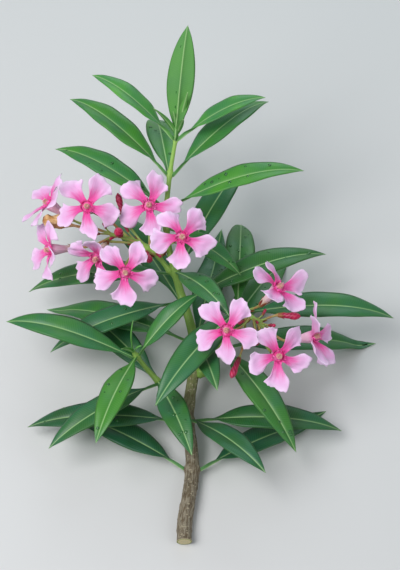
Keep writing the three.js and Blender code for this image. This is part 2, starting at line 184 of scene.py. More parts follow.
# %% A material with one shader
class Finish:
    """A material with one Principled shader, whose patterns are wires."""

    def __init__(self, name, **plain):
        self.material = bpy.data.materials.new(name)
        self.material.use_nodes = True
        self.nodes = self.material.node_tree.nodes
        for socket, value in plain.items():
            self.set(socket.replace("_", " "), value)

    def feed(self, socket, value):
        """Puts a number, a colour or a wire into a socket."""
        if isinstance(value, Wire):
            self.material.node_tree.links.new(value.socket, socket)
        elif isinstance(value, tuple) and socket.type == "RGBA":
            socket.default_value = (*value, 1)
        else:
            socket.default_value = value

    def set(self, socket, value):
        self.feed(self.nodes["Principled BSDF"].inputs[socket], value)

    def add(self, kind, settings, inputs, output=0):
        """Adds a node of a kind, makes its settings and fills its inputs. Returns one output."""
        node = self.nodes.new(kind)
        for setting, value in settings.items():
            setattr(node, setting, value)
        for socket, value in inputs.items():
            self.feed(node.inputs[socket], value)
        return Wire(self, node.outputs[output])

    def math(self, operation, *values):
        return self.add("ShaderNodeMath", {"operation": operation}, dict(enumerate(values)))

    def mark(self, name):
        """The three numbers that a mesh holds at each point under a name."""
        mark = self.add("ShaderNodeAttribute", {"attribute_name": name}, {}, "Vector")
        return [self.add("ShaderNodeSeparateXYZ", {}, {0: mark}, part) for part in "XYZ"]

    def noise(self, scale, detail, *at):
        """Smooth noise about 0.5, at three coordinates, or else at the point's own place in metres."""
        if at:
            at = self.add("ShaderNodeCombineXYZ", {}, dict(enumerate(at)))
        else:
            at = self.add("ShaderNodeTexCoord", {}, {}, "Object")
        return self.add("ShaderNodeTexNoise", {}, {"Vector": at, "Scale": scale, "Detail": detail})

    def cover(self, colour, layers, rough, relief):
        """Covers the surface with a colour and with layers, which are pairs of a share and a colour.

        The relief is a height in millimetres that tilts the surface."""
        for share, over in layers:
            colour = self.add("ShaderNodeMix", {"data_type": "RGBA"}, {0: share, 6: colour, 7: over}, 2)
        self.set("Base Color", colour)
        self.set("Roughness", rough)
        inputs = {"Height": relief, "Distance": MM, "Strength": 1.0}
        self.set("Normal", self.add("ShaderNodeBump", {}, inputs))
        return self


# %% The floor's finish
floor_finish = Finish("floor", Base_Color=(FLOOR_GREY,) * 3, Roughness=0.9)
floor_mesh.materials.append(floor_finish.material)

# %% [markdown]
# ## Reading the solids
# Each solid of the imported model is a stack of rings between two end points, but its mesh is loose
# triangles. The rings come back in two steps: corners at the same place become one point, and then the
# neighbours of an end point are its ring, their new neighbours are the next ring, and so on. Started
# from any other point, these steps don't give rings of equal size, which tells the end points.

# %% Rings of a solid
COMMON_VALENCE = 6  # the number of neighbours of most points, but not of an end point
SAME_PLACE = 1e-4


def levels_from(start, joined):
    """A point, its neighbours, their new neighbours and so on, as lists of point numbers."""
    levels = [np.array([start])]
    met = np.arange(len(joined)) == start
    while not met.all():
        levels.append(np.flatnonzero(joined[levels[-1]].any(0) & ~met))
        met[levels[-1]] = True
    return levels


def rings_of(node):
    """Returns a solid's first end point, its rings from there on, and its last end point.

    The first end point is the one that lies in its ring's own plane, or the lower of two such."""
    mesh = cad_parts[node].data
    places = np.empty(len(mesh.vertices) * 3, np.float32)
    corners = np.empty(len(mesh.loops), np.int32)
    mesh.vertices.foreach_get("co", places)
    mesh.loops.foreach_get("vertex_index", corners)
    points, which = np.unique(places.reshape(-1, 3).astype(float), axis=0, return_inverse=True)
    triangles = which.ravel()[corners].reshape(-1, 3)
    joined = np.zeros((len(points), len(points)), bool)
    joined[triangles, np.roll(triangles, 1, 1)] = True
    joined |= joined.T
    for start in np.flatnonzero(joined.sum(1) != COMMON_VALENCE):
        levels = levels_from(start, joined)
        if len(levels[-1]) == 1 and len({len(level) for level in levels[1:-1]}) == 1:
            break
    first, last = points[levels[0][0]], points[levels[-1][0]]
    rings = points[np.array(levels[1:-1])]
    stands = [np.linalg.norm(end - ring.mean(0)) for end, ring in ((first, rings[0]), (last, rings[-1]))]
    flat_ends = max(stands) < SAME_PLACE
    if (flat_ends and first[2] > last[2]) or (not flat_ends and stands[0] > stands[1]):
        first, rings, last = last, rings[::-1], first
    return first, rings, last


stacks = {node: rings_of(node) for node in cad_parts}
print("rings and sides:", sorted({rings.shape[:2] for _, rings, _ in stacks.values()}))

# %% Smooth lines through a few points
WAVES = 12  # waves in a ripple


def unit(vectors):
    """The vectors at length 1."""
    return vectors / np.linalg.norm(vectors, axis=-1, keepdims=True)


def stacked(*values):
    """Numbers or arrays, each spread to the shape of all, as the last axis of one array."""
    return np.stack(np.broadcast_arrays(*values), -1)


def bell(distance, width):
    """1 at distance 0, falling off to both sides within about the width: exp(-(distance / width)²)."""
    return np.exp(-((distance / width) ** 2))


def through(knots, values, at):
    """Values (count, size) at the places `at`, on a smooth line through the values at the knots.

    Between two knots it is the cubic that has the given values and mean slopes at both."""
    knots, values = np.asarray(knots, float), np.reshape(values, (len(knots), -1))
    slopes = np.gradient(values, knots, axis=0)
    k = np.clip(np.searchsorted(knots, at, side="right") - 1, 0, len(knots) - 2)
    step = (knots[k + 1] - knots[k])[:, None]
    s = (at - knots[k])[:, None] / step
    start = values[k] * (1 + 2 * s) * (1 - s) ** 2 + slopes[k] * step * s * (1 - s) ** 2
    end = values[k + 1] * (3 - 2 * s) * s**2 + slopes[k + 1] * step * (s - 1) * s**2
    return start + end


def along(line):
    """The distance walked along a line at each of its points."""
    steps = np.linalg.norm(np.diff(line, axis=0), axis=1)
    return np.concatenate([[0], np.cumsum(steps)])


def ripple(seed, *places):
    """A smooth uneven height about 0: the mean of waves in random directions over the given places."""
    draw = np.random.default_rng(seed)
    paces = unit(draw.normal(size=(WAVES, len(places)))) * draw.uniform(0.6, 1.4, (WAVES, 1))
    phase = sum(np.multiply.outer(place, pace) for place, pace in zip(places, paces.T, strict=True))
    return 3 * np.sin(2 * np.pi * phase + draw.uniform(0, 6, WAVES)).mean(-1)


# %% [markdown]
# ## Closed surfaces
# Stems, stalks, buds and leaves are all tubes: a grid of rings, closed at both ends, where a leaf is a
# very flat one. Petals and sepals are sheets that get a thickness. Several such surfaces make one piece.
# Each point also carries two marks of three numbers, `place` and `mood`, that the materials read.

# %% Faces between rows of points
def closed(index):
    """Rows of point numbers with the first column again at the end, so that they close into rings."""
    return np.concatenate([index, index[:, :1]], axis=1)


def quads_of(index):
    """The quads (count, 4) of a grid of point numbers (rows, columns), or of many such grids."""
    low, high = index[..., :-1, :], index[..., 1:, :]
    return stacked(low[..., :-1], low[..., 1:], high[..., 1:], high[..., :-1]).reshape(-1, 4)


# %% A piece made of closed surfaces
UNMARKED = (0, 0, 0)


class Parts:
    """Closed surfaces that are gathered and then made one piece."""

    def __init__(self):
        self.points, self.place, self.mood = [], [], []
        self.faces, self.finishes = [], []
        self.count = 0

    def gather(self, points, faces, finishes, place, mood):
        """Adds points with their marks, and arrays of faces with the finish of each."""
        for group, finish in zip(faces, finishes, strict=True):
            self.faces += (group + self.count).tolist()
            self.finishes += np.broadcast_to(finish, len(group)).tolist()
        self.points.append(points)
        self.place.append(place)
        self.mood.append(mood)
        self.count += len(points)

    def tube(self, grid, finish=0, place=UNMARKED, mood=UNMARKED, tip=None):
        """Adds rings (rows, sides, 3) as a tube, each end closed by a fan round one point."""
        rows, sides = grid.shape[:2]
        index = closed(np.arange(rows * sides).reshape(rows, sides))
        first_fan = stacked(rows * sides, index[0, 1:], index[0, :-1])
        last_fan = stacked(rows * sides + 1, index[-1, :-1], index[-1, 1:])
        finish = np.broadcast_to(finish, (rows - 1, sides))
        spread = [np.broadcast_to(a, grid.shape) for a in (grid, place, mood)]
        points, *marks = (np.concatenate([a.reshape(-1, 3), [a[0].mean(0), a[-1].mean(0)]]) for a in spread)
        if tip is not None:
            points[-1] = tip
        finishes = [finish.ravel(), finish[0, 0], finish[-1, 0]]
        self.gather(points, [quads_of(index), first_fan, last_fan], finishes, *marks)

    def sheet(self, points, quads, depth, finish, back, place=UNMARKED, mood=UNMARKED):
        """Adds a sheet with a thickness: a copy lies under it, and quads close its open edges."""
        sides = points[quads[:, 2]] - points[quads[:, 0]], points[quads[:, 3]] - points[quads[:, 1]]
        normals = np.zeros_like(points)
        np.add.at(normals, quads.ravel(), np.repeat(np.cross(*sides), 4, axis=0))
        under = points - unit(normals) * depth
        edges = stacked(quads, np.roll(quads, -1, 1)).reshape(-1, 2)
        rim = edges[~np.isin(edges @ [len(points), 1], edges @ [1, len(points)])]
        walls = np.concatenate([rim[:, ::-1], rim + len(points)], axis=1)
        marks = [np.concatenate([np.broadcast_to(mark, points.shape)] * 2) for mark in (place, mood)]
        faces = [quads, quads[:, ::-1] + len(points), walls]
        self.gather(np.concatenate([points, under]), faces, [finish, back, finish], *marks)

    def piece(self, name, finishes, nodes=()):
        """Makes the piece, which stands for the nodes and takes the finishes as its materials."""
        mesh = bpy.data.meshes.new(name)
        mesh.from_pydata(np.concatenate(self.points), [], self.faces)
        mesh.polygons.foreach_set("material_index", np.array(self.finishes, np.int32))
        mesh.polygons.foreach_set("use_smooth", np.ones(len(mesh.polygons), bool))
        for mark, values in (("place", self.place), ("mood", self.mood)):
            attribute = mesh.attributes.new(mark, "FLOAT_VECTOR", "POINT")
            attribute.data.foreach_set("vector", np.concatenate(values).astype(np.float32).ravel())
        for finish in finishes:
            mesh.materials.append(finish.material)
        made = in_scene(name, mesh)
        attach(made, "root")
        if nodes:
            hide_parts(*nodes)
        print(f"{name}: {len(mesh.polygons)} faces for {len(nodes)} solids")


# %% [markdown]
# ## Leaf finish
# An oleander leaf is leathery. Its upper face is dark green with a satin sheen, a pale midrib runs from
# end to end, a thin pale line edges it, and very fine veins run out at a wide angle, close together. The
# lower face is paler and dull. Bluish patches of painted sheen, a painted reflection of the sky, lie over
# the green of both faces. The leaf's mesh says for each point how far it lies across and along the
# blade, so each of these is a sum of those two.

# %% Leaf colours
LEAF_DARK = (0.004, 0.050, 0.019)
LEAF_BRIGHT = (0.10, 0.42, 0.02)
# painted reflection: a bluish green that stands in for the sky's sheen on the satin leaf
LEAF_PAINTED_SHEEN = (0.012, 0.125, 0.08)
LEAF_UNDER = (0.12, 0.30, 0.09)
MIDRIB_PALE = (0.38, 0.60, 0.26)
MARGIN_PALE = (0.18, 0.42, 0.12)
MIDRIB_WIDTH = 0.42  # millimetres
VEIN_STEP = 1.5  # millimetres between side veins
VEIN_SLOPE = 0.42  # how far a side vein runs towards the tip for each millimetre that it runs out


def leaf_finish(name, upper):
    """The green of a leaf's upper or lower face, from its marks.

    place is millimetres across and along, and the share from midrib to margin. mood is the leaf's
    youth, the share along it and a random number."""
    finish = Finish(name, Specular_IOR_Level=0.5 if upper else 0.3)
    across, length, share = finish.mark("place")
    youth, out, chance = finish.mark("mood")
    blotch = finish.noise(60, 2)
    fine = finish.noise(700, 3)
    phase = (length - abs(across) * VEIN_SLOPE + blotch * 2.5) * (math.pi / VEIN_STEP)
    vein = (1 - abs(finish.math("SINE", phase)) ** 0.35) * share.rise(1.0, 0.75)
    midrib = finish.math("EXPONENT", across * across * (-1 / MIDRIB_WIDTH**2))
    layers = [
        (youth, LEAF_BRIGHT),
        # painted reflection: bluish patches of sheen painted into the green by noise, on both faces
        ((blotch + chance * 0.3).rise(0.35, 0.95) * 0.55, LEAF_PAINTED_SHEEN),
        (0 if upper else 0.6, LEAF_UNDER),
        (vein * 0.2, MARGIN_PALE),
        (share.rise(0.93, 0.99) * 0.5, MARGIN_PALE),
        (midrib * (1 - out * 0.4), MIDRIB_PALE),
    ]
    rough = (0.34 if upper else 0.62) + fine * 0.16
    return finish.cover(LEAF_DARK, layers, rough, vein * -0.05 + fine * 0.05 + blotch * 0.4)


leaf_top = leaf_finish("leaf_upper_face", True)
leaf_back = leaf_finish("leaf_lower_face", False)
print("leaf finishes:", leaf_top.material.name, leaf_back.material.name)

# %% [markdown]
# ## Leaves
# A real blade is folded a little along its midrib, its halves swell slightly, its margins curl down and
# waver, and the midrib is a groove above and a ridge below. Modelling each of some forty leaves by hand
# is out of the question. Here every leaf is the same few terms added to the three lines that the solid
# gives: its midrib and its two edges.

# %% The lines of a leaf
CORNER_PAIRS = np.array([(0, 1), (0, 2), (0, 3), (1, 2), (1, 3), (2, 3)])  # pair k and pair 5 - k: all four


def leaf_lines(node):
    """A leaf's midrib, its left and right edges, and the way that its face looks, foot to tip.

    A ring has four points. The two that lie furthest apart are on the edges, and the line between
    the others is square to the blade. The edges stand above the midrib, which tells its face."""
    _, rings, tip = stacks[node]
    spans = np.linalg.norm(rings[:, CORNER_PAIRS[:, 0]] - rings[:, CORNER_PAIRS[:, 1]], axis=2)
    widest = spans.argmax(1)
    row = np.arange(len(rings))[:, None]
    edges = rings[row, CORNER_PAIRS[widest]]
    ribs = rings[row, CORNER_PAIRS[5 - widest]]
    middle = np.concatenate([ribs.mean(1), [tip]])
    way = unit(np.gradient(middle, axis=0))[:-1]
    face = unit(ribs[:, 0] - ribs[:, 1])
    sure = spans.max(1).argmax()
    face[sure] *= np.sign((edges[sure].mean(0) - middle[sure]) @ face[sure])
    for k in [*range(sure + 1, len(face)), *range(sure - 1, -1, -1)]:
        face[k] *= np.sign(face[k] @ face[k - 1 if k > sure else k + 1])
    swap = ((edges[:, 1] - edges[:, 0]) * np.cross(way, face)).sum(1) < 0
    edges[swap] = edges[swap, ::-1]
    left, right = (np.concatenate([edges[:, side], [tip]]) for side in (0, 1))
    return middle, left, right, np.concatenate([face, face[-1:]])


# %% The surface of a leaf
LEAF_ROWS = 56
LEAF_COLUMNS = 8  # from the midrib to a margin
LEAF_END = 0.985  # share of the length at the last ring, before the tip
SWELL = 0.05  # how far a half stands out of its plane, as a share of its width
MARGIN_CURL = 0.10  # how far a margin turns down, as a share of the half width
WAVER = 0.035  # how far a margin wavers, as a share of the half width
WAVERS = (2.2, 4.2)  # how many times it wavers
HALVES_APART = 0.37  # the share of a wave by which the two margins waver apart
GROOVE = 0.25  # millimetres
BLADE_DEPTH = 0.32
RIDGE_DEPTH = 0.9
RIDGE_WIDTH = 0.75
STALK_DEPTH = 1.7
STALK_SHARE = 0.09  # share of the length in which the stalk becomes the blade
ROOTED = 1.6  # how far a leaf's foot reaches into its stem
CLEAR = 0.05  # the least height over the table

share_out = (np.arange(1, LEAF_COLUMNS + 1) / LEAF_COLUMNS) ** 1.4
upper_shares = np.concatenate([-share_out[::-1], [0], share_out])
leaf_shares = np.concatenate([upper_shares, upper_shares[-2:0:-1]])[None, :, None]
under = (np.arange(leaf_shares.size) >= upper_shares.size)[None, :, None]
leaf_faces = (np.arange(leaf_shares.size) >= upper_shares.size - 1).astype(int)

DROPS_ON = 0.45  # share of the leaves that carry drops of water
DROP_COUNTS = (5, 13)  # from 5 to 12 on such a leaf
DROP_ROWS = (10, LEAF_ROWS - 6)  # rows of the leaf that may carry one
DROP_COLUMNS = (2, 7)  # columns out from the midrib
DROP_RADII = (0.5, 1.25)  # millimetres, before a power that makes small ones common
drops = {}  # for each stem a list of their places, directions out of the leaf and radii


def add_leaf(parts, node, youth):
    """Adds the fine surface of a leaf to parts.

    Over the share u from the midrib (0) to a margin (1 or -1), the blade's height is a straight rise
    to the edge, plus a swell like a half wave, less a curl like u cubed, plus a waver that grows
    with u. The lower side lies a depth under it: an ellipse over u, plus a bell for the ridge."""
    middle, left, right, face = leaf_lines(node)
    knots = np.linspace(0, 1, len(middle))
    t = np.linspace(0, LEAF_END, LEAF_ROWS)
    rib, left, right, face = (through(knots, line, t)[:, None] for line in (middle, left, right, face))
    face = unit(face)
    half = np.linalg.norm(right - left, axis=2, keepdims=True) / 2
    u, t = leaf_shares, t[:, None, None]
    out = abs(u)
    chance = rng.uniform()
    waver = np.sin(2 * np.pi * (t * rng.uniform(*WAVERS) + np.where(u > 0, HALVES_APART, 0) + chance))
    height = half * (SWELL * np.sin(np.pi * out) - MARGIN_CURL * out**3 + WAVER * waver * out**2)
    at_rib = bell(out * half, RIDGE_WIDTH * MM)
    height = height - GROOVE * MM * at_rib
    stalk = np.clip(1 - t / STALK_SHARE, 0, 1) ** 0.7
    depth = (BLADE_DEPTH + (STALK_DEPTH - BLADE_DEPTH) * stalk) * np.sqrt(1 - out**2)
    depth = (depth + RIDGE_DEPTH * at_rib * (1 - t) ** 0.6 * (1 - stalk)) * MM
    lowered = under * depth * (out < 1)
    grid = rib + out * (np.where(u > 0, right, left) - rib) + face * (height - lowered)
    grid[0] -= unit(rib[1] - rib[0]) * ROOTED * MM
    grid[..., 2] = np.maximum(grid[..., 2], CLEAR * MM)
    walked = along(rib[:, 0])[:, None, None]
    place = stacked(u * half / MM, walked / MM, out)[:, :, 0]
    mood = stacked(youth, t, chance)[:, :, 0]
    parts.tube(grid, leaf_faces, place, mood, middle[-1])
    if rng.uniform() < DROPS_ON:
        rows = rng.integers(*DROP_ROWS, rng.integers(*DROP_COUNTS))
        columns = LEAF_COLUMNS + rng.integers(*DROP_COLUMNS, rows.size) * rng.choice([-1, 1], rows.size)
        sizes = rng.uniform(*DROP_RADII, rows.size) ** 1.5
        fallen = zip(grid[rows, columns], face[rows, 0], sizes, strict=True)
        drops.setdefault(node.split("_")[1], []).extend(fallen)


# %% Whorls of leaves
YOUTH = {"main": 0.10, "side": 0.22, "left": 0.28, "right": 0.30, "leader": 0.55}
TIP_YOUTH = 0.22  # more at the tip of a shoot
YOUTH_SPREAD = 0.07

whorls = {}
for node in named("leaf_"):
    whorls.setdefault(tuple(node.split("_")[1:3]), []).append(node)
for (stem, height), nodes in whorls.items():
    parts = Parts()
    youth = YOUTH[stem] + TIP_YOUTH * (height == "tip")
    for node in nodes:
        add_leaf(parts, node, youth + rng.uniform(-YOUTH_SPREAD, YOUTH_SPREAD))
    parts.piece(f"leaves_{stem}_{height}", [leaf_top, leaf_back], nodes)

# %% [markdown]
# ## Stems
# The woody stem is grey-brown bark with fine cracks, pale pores and the scars of fallen leaves, and it
# turns green towards the fork. The green shoots are smooth, swell at each whorl and carry a pad under
# each leaf. All of this is a small height over a plain tapering tube. A stem is therefore one grid of
# radii, rows along it and columns round it, and every feature is a term that is added to that grid.
# Displacing a subdivided cylinder would do the same, but could not know where the leaves are.

# %% Rings round a line
def spokes_along(line, start):
    """Two directions square to a line at each of its points, carried along it without a twist."""
    way = unit(np.gradient(line, axis=0))
    spokes = [np.array(start, float)]
    for step in way:
        spokes.append(unit(spokes[-1] - step * (spokes[-1] @ step)))
    spokes = np.array(spokes[1:])
    return spokes, np.cross(way, spokes)


def turns(sides):
    """The angle of each side of a ring, in radians: its number as a share of them all, times a full turn."""
    return 2 * np.pi * np.arange(sides) / sides


def round_grid(line, radii, sides, start=(0, 0, 1)):
    """Rings (rows, sides, 3) round a line, from a radius for each row or for each point.

    A point is the line's point plus its radius times the sum of one spoke times the cosine of its
    turn and the other spoke times the sine."""
    first, second = spokes_along(line, start)
    turn = turns(sides)[:, None]
    around = first[:, None] * np.cos(turn) + second[:, None] * np.sin(turn)
    return line[:, None] + np.reshape(radii, (len(line), -1, 1)) * around


def domed(line, radii, rows=4):
    """A line and radii that go on round a dome, so that a tube's end is round."""
    angle = np.linspace(0, 1.5, rows + 1)[1:, None]
    way = unit(line[-1] - line[-2])
    dome = line[-1] + 0.7 * radii[-1] * np.sin(angle) * way
    return np.concatenate([line, dome]), np.concatenate([radii, radii[-1] * np.cos(angle[:, 0])])


# %% The plain form of a stem
STEM_STEP = 0.8  # millimetres between the rings of a stem
HEEL_SHARE = 0.22  # a side shoot's solid starts in a narrow heel, which the real shoot doesn't have
FOOT_REACH = 2.5  # millimetres from a stem's surface within which a leaf's foot belongs to it


def plain_stem(node, rooted):
    """A stem's line, its distances along it and its plain radii, from `rooted` mm inside its parent.

    The radius is the straight taper that fits the solid's rings past the heel."""
    _, rings, _ = stacks[node]
    centres = rings.mean(1)
    walked = along(centres)
    widths = np.linalg.norm(rings - centres[:, None], axis=2).mean(1)
    grown = walked >= HEEL_SHARE * walked[-1]
    taper, foot = np.polyfit(walked[grown], widths[grown], 1)
    rows = round((walked[-1] / MM + rooted) / STEM_STEP)
    far = np.linspace(-rooted * MM, walked[-1], rows)
    return through(walked, centres, far), far, foot + taper * far


def feet_on(line, radii):
    """The rows at which leaves and side shoots leave a stem, and the directions in which they do."""
    feet = np.array([first for first, _, _ in stacks.values()])
    gaps = np.linalg.norm(feet[:, None] - line, axis=2)
    row = gaps.argmin(1)
    near = (gaps.min(1) < radii[row] + FOOT_REACH * MM) & (gaps.min(1) > radii[row] * 0.8)
    return row[near], unit(feet[near] - line[row[near]])


# %% Swellings and pads
NODE_SWELL = 0.4  # millimetres
NODE_LENGTH = 2.6
PAD_HEIGHT = 0.9
PAD_LENGTH = 2.2
PAD_DROP = 0.8  # a pad's middle lies this far under the leaf that it carries
PAD_NARROWNESS = 9


def node_relief(line, far, radii, sides):
    """Height over a plain stem in mm: a swelling all round at each foot, and a pad under it.

    The swelling is a bell over the distance along. The pad is such a bell times a bell over the
    turn, exp(narrowness · (cos(turn - bearing) - 1))."""
    row, way = feet_on(line, radii)
    first, second = spokes_along(line, (0, 0, 1))
    bearing = np.arctan2((way * second[row]).sum(1), (way * first[row]).sum(1))
    gap = (far[:, None] - far[row]) / MM
    swell = bell(gap, NODE_LENGTH).max(1, initial=0)
    crosswise = np.exp(PAD_NARROWNESS * (np.cos(turns(sides)[:, None] - bearing) - 1))
    pad = (bell(gap + PAD_DROP, PAD_LENGTH)[:, None] * crosswise).max(2, initial=0)
    return NODE_SWELL * swell[:, None] + PAD_HEIGHT * pad


# %% Green stem finish
GREEN_BRIGHT = (0.30, 0.52, 0.10)
GREEN_DEEP = (0.13, 0.27, 0.04)
GREEN_RED = (0.34, 0.13, 0.06)
SPECK_PALE = (0.50, 0.52, 0.25)


def green_finish():
    """The green of a young stem, from its marks.

    place is the turn as a cosine and sine, and the distance along in mm. mood is the youth, the
    blush and nothing."""
    finish = Finish("green_stem", Specular_IOR_Level=0.45)
    cosine, sine, length = finish.mark("place")
    youth, blush, _ = finish.mark("mood")
    streak = finish.noise(1.6, 4, cosine * 3, sine * 3, length * 0.12)
    speck = finish.noise(900, 1).rise(0.66, 0.74)
    layers = [
        (youth + (streak - 0.5) * 0.8, GREEN_BRIGHT),
        (blush * streak.rise(0.3, 0.7), GREEN_RED),
        (speck * 0.35, SPECK_PALE),
    ]
    return finish.cover(GREEN_DEEP, layers, streak * 0.2 + 0.34, streak * 0.12 + speck * 0.05)


green_stem = green_finish()

# %% Green stems
ROOT_SIDE = 3.2  # how far a side shoot reaches into its parent, in millimetres
ROOT_ON = 1.6  # and a shoot that goes on from the end of another
COLLAR = 0.4  # how much a shoot widens at its very foot
COLLAR_LENGTH = 2.5
HIDDEN = 0.45  # its width at the end that is hidden in its parent, as a share
RIBS = 3
RIB_SHARE = 0.035  # their height, as a share of the radius
RIB_WIND = 40  # millimetres along the stem in which the wave of the ribs moves on by a radian
DOME_WIDTHS = np.array([0.85, 0.5])  # the last two rings, as shares of the radius
DOME_RISES = np.array([0.4, 0.62])
GREEN_SIDES = 28
GREEN_STEMS = {  # how it is rooted, its youth and its blush at the foot and at the tip
    "shoot_left": (ROOT_ON, (0.3, 0.62), (0.1, 0)),
    "shoot_right": (ROOT_SIDE, (0.35, 0.62), (0.1, 0)),
    "shoot_side": (ROOT_SIDE, (0.35, 0.6), (0.15, 0.05)),
    "shoot_leader": (ROOT_ON, (0.62, 1.0), (0, 0)),
    "peduncle_left": (ROOT_SIDE, (0.85, 1.0), (0, 0.2)),
    "peduncle_right": (ROOT_SIDE, (0.85, 1.0), (0, 0.2)),
}


def add_green_stem(node, rooted, youth, blush):
    """Makes a green stem: the plain taper, faint ribs, a collar, swellings, pads and a dome."""
    line, far, radii = plain_stem(node, rooted)
    turn = turns(GREEN_SIDES)
    ribs = RIB_SHARE * radii[:, None] / MM * np.cos(RIBS * turn + far[:, None] / (RIB_WIND * MM))
    collar = COLLAR * np.exp(-(np.maximum(far, 0) / (COLLAR_LENGTH * MM))) * (rooted == ROOT_SIDE)
    heights = node_relief(line, far, radii, GREEN_SIDES) + ribs + collar[:, None]
    narrowed = 1 - (1 - HIDDEN) * np.clip(-far / (rooted * MM), 0, 1)[:, None] ** 0.7
    grid = round_grid(line, (radii[:, None] + heights * MM) * narrowed, GREEN_SIDES)
    middle = grid[-1].mean(0)
    dome = middle + (grid[-1] - middle) * DOME_WIDTHS[:, None, None]
    dome += unit(line[-1] - line[-2]) * radii[-1] * DOME_RISES[:, None, None]
    share = np.clip(np.append(far, [far[-1]] * 2) / far[-1], 0, 1)[:, None]
    place = stacked(np.cos(turn), np.sin(turn), share * far[-1] / MM)
    mood = stacked(*(a + (b - a) * share for a, b in (youth, blush)), 0)
    parts = Parts()
    parts.tube(np.concatenate([grid, dome]), 0, place, mood)
    parts.piece(f"{node}_fine", [green_stem], [node])


for node, (rooted, youth, blush) in GREEN_STEMS.items():
    add_green_stem(node, rooted, youth, blush)

# %% Bark finish
BARK_GREY = (0.31, 0.27, 0.20)
BARK_BROWN = (0.15, 0.11, 0.065)
BARK_GREEN = (0.20, 0.25, 0.07)
CRACK_DARK = (0.055, 0.04, 0.025)
PORE_PALE = (0.42, 0.37, 0.26)


def bark_finish():
    """The bark, from its marks: place as on a green stem; mood is crack, pore and share along."""
    finish = Finish("bark", Specular_IOR_Level=0.3)
    cosine, sine, length = finish.mark("place")
    crack, pore, share = finish.mark("mood")
    streak = finish.noise(2.2, 5, cosine * 2, sine * 2, length * 0.1)
    fine = finish.noise(2.5, 5, cosine * 9, sine * 9, length * 0.5)
    split = finish.noise(2.0, 2, cosine * 5, sine * 5, length * 0.09)
    dark = finish.math("MAXIMUM", crack, abs(split - 0.5).rise(0.022, 0.004) * streak.rise(0.6, 0.4))
    layers = [
        ((streak + (fine - 0.5) * 0.5).rise(0.35, 0.65), BARK_GREY),
        ((share + (streak - 0.5) * 0.5).rise(0.55, 1.1) * 0.85, BARK_GREEN),
        (dark * 0.8, CRACK_DARK),
        (pore.rise(0.25, 0.6) * 0.85, PORE_PALE),
    ]
    return finish.cover(BARK_BROWN, layers, fine * 0.2 + 0.62, fine * 0.5 - dark * 0.25)


bark = bark_finish()

# %% Cut wood finish
PITH = (0.60, 0.55, 0.34)
WOOD_PALE = (0.66, 0.57, 0.34)
WOOD_DARK = (0.50, 0.40, 0.21)
CAMBIUM = (0.28, 0.40, 0.08)


def cut_finish():
    """The cut face, from its marks: place is mm across, mm across the other way, and mm from the middle."""
    finish = Finish("cut_wood", Specular_IOR_Level=0.35)
    x, y, out = finish.mark("place")
    grain = finish.noise(1.4, 4, x, y, 0.0)
    rings = finish.math("SINE", (out + grain * 0.5) * 6.0)
    rays = finish.noise(1.0, 3, x / out * 14, y / out * 14, out * 0.3).rise(0.5, 0.62)
    layers = [
        (rings.rise(0.2, 1.0) * 0.3 + rays * 0.35, WOOD_DARK),
        ((out + grain * 0.3).rise(1.35, 1.1), PITH),
        (out.rise(4.0, 4.2), CAMBIUM),
        (out.rise(4.35, 4.6), BARK_BROWN),
    ]
    return finish.cover(WOOD_PALE, layers, grain * 0.2 + 0.6, grain * 0.2)


cut_wood = cut_finish()

# %% Bark relief
BARK_SIDES = 72
CRACK_DEPTH = 0.35  # millimetres
UNEVEN = 0.22
PORES = 210
PORE_HEIGHT = 0.25
PORE_SIZE = (0.45, 0.7)  # half its length and half its width
SCARS = 3  # in each old whorl
SCAR_SHARES = np.array([0.07, 0.2, 0.31])  # where the old whorls are, under the lowest leaves
SCAR_HEIGHT = 0.75
SCAR_WIDTH = 1.9  # half its width, in millimetres
CLEAN_EDGE = 1.5  # nothing rises this close to the cut
BEVEL = 0.2
CAP_SHARES = np.array([0.12, 0.25, 0.4, 0.55, 0.7, 0.84, 0.95])[:, None]  # rings of the cut face


def bells_on(far, turn, radius, centres, long, wide):
    """The highest of many bells over a stem: exp(-(distance along / long)² - (distance round / wide)²)."""
    place, bearing = centres
    lengthwise = ((far[:, None] - place) / MM / long) ** 2
    round_off = np.angle(np.exp(1j * (turn[:, None] - bearing)))
    crosswise = (round_off * radius / MM / wide) ** 2
    return np.exp(-lengthwise[:, None] - crosswise).max(2)


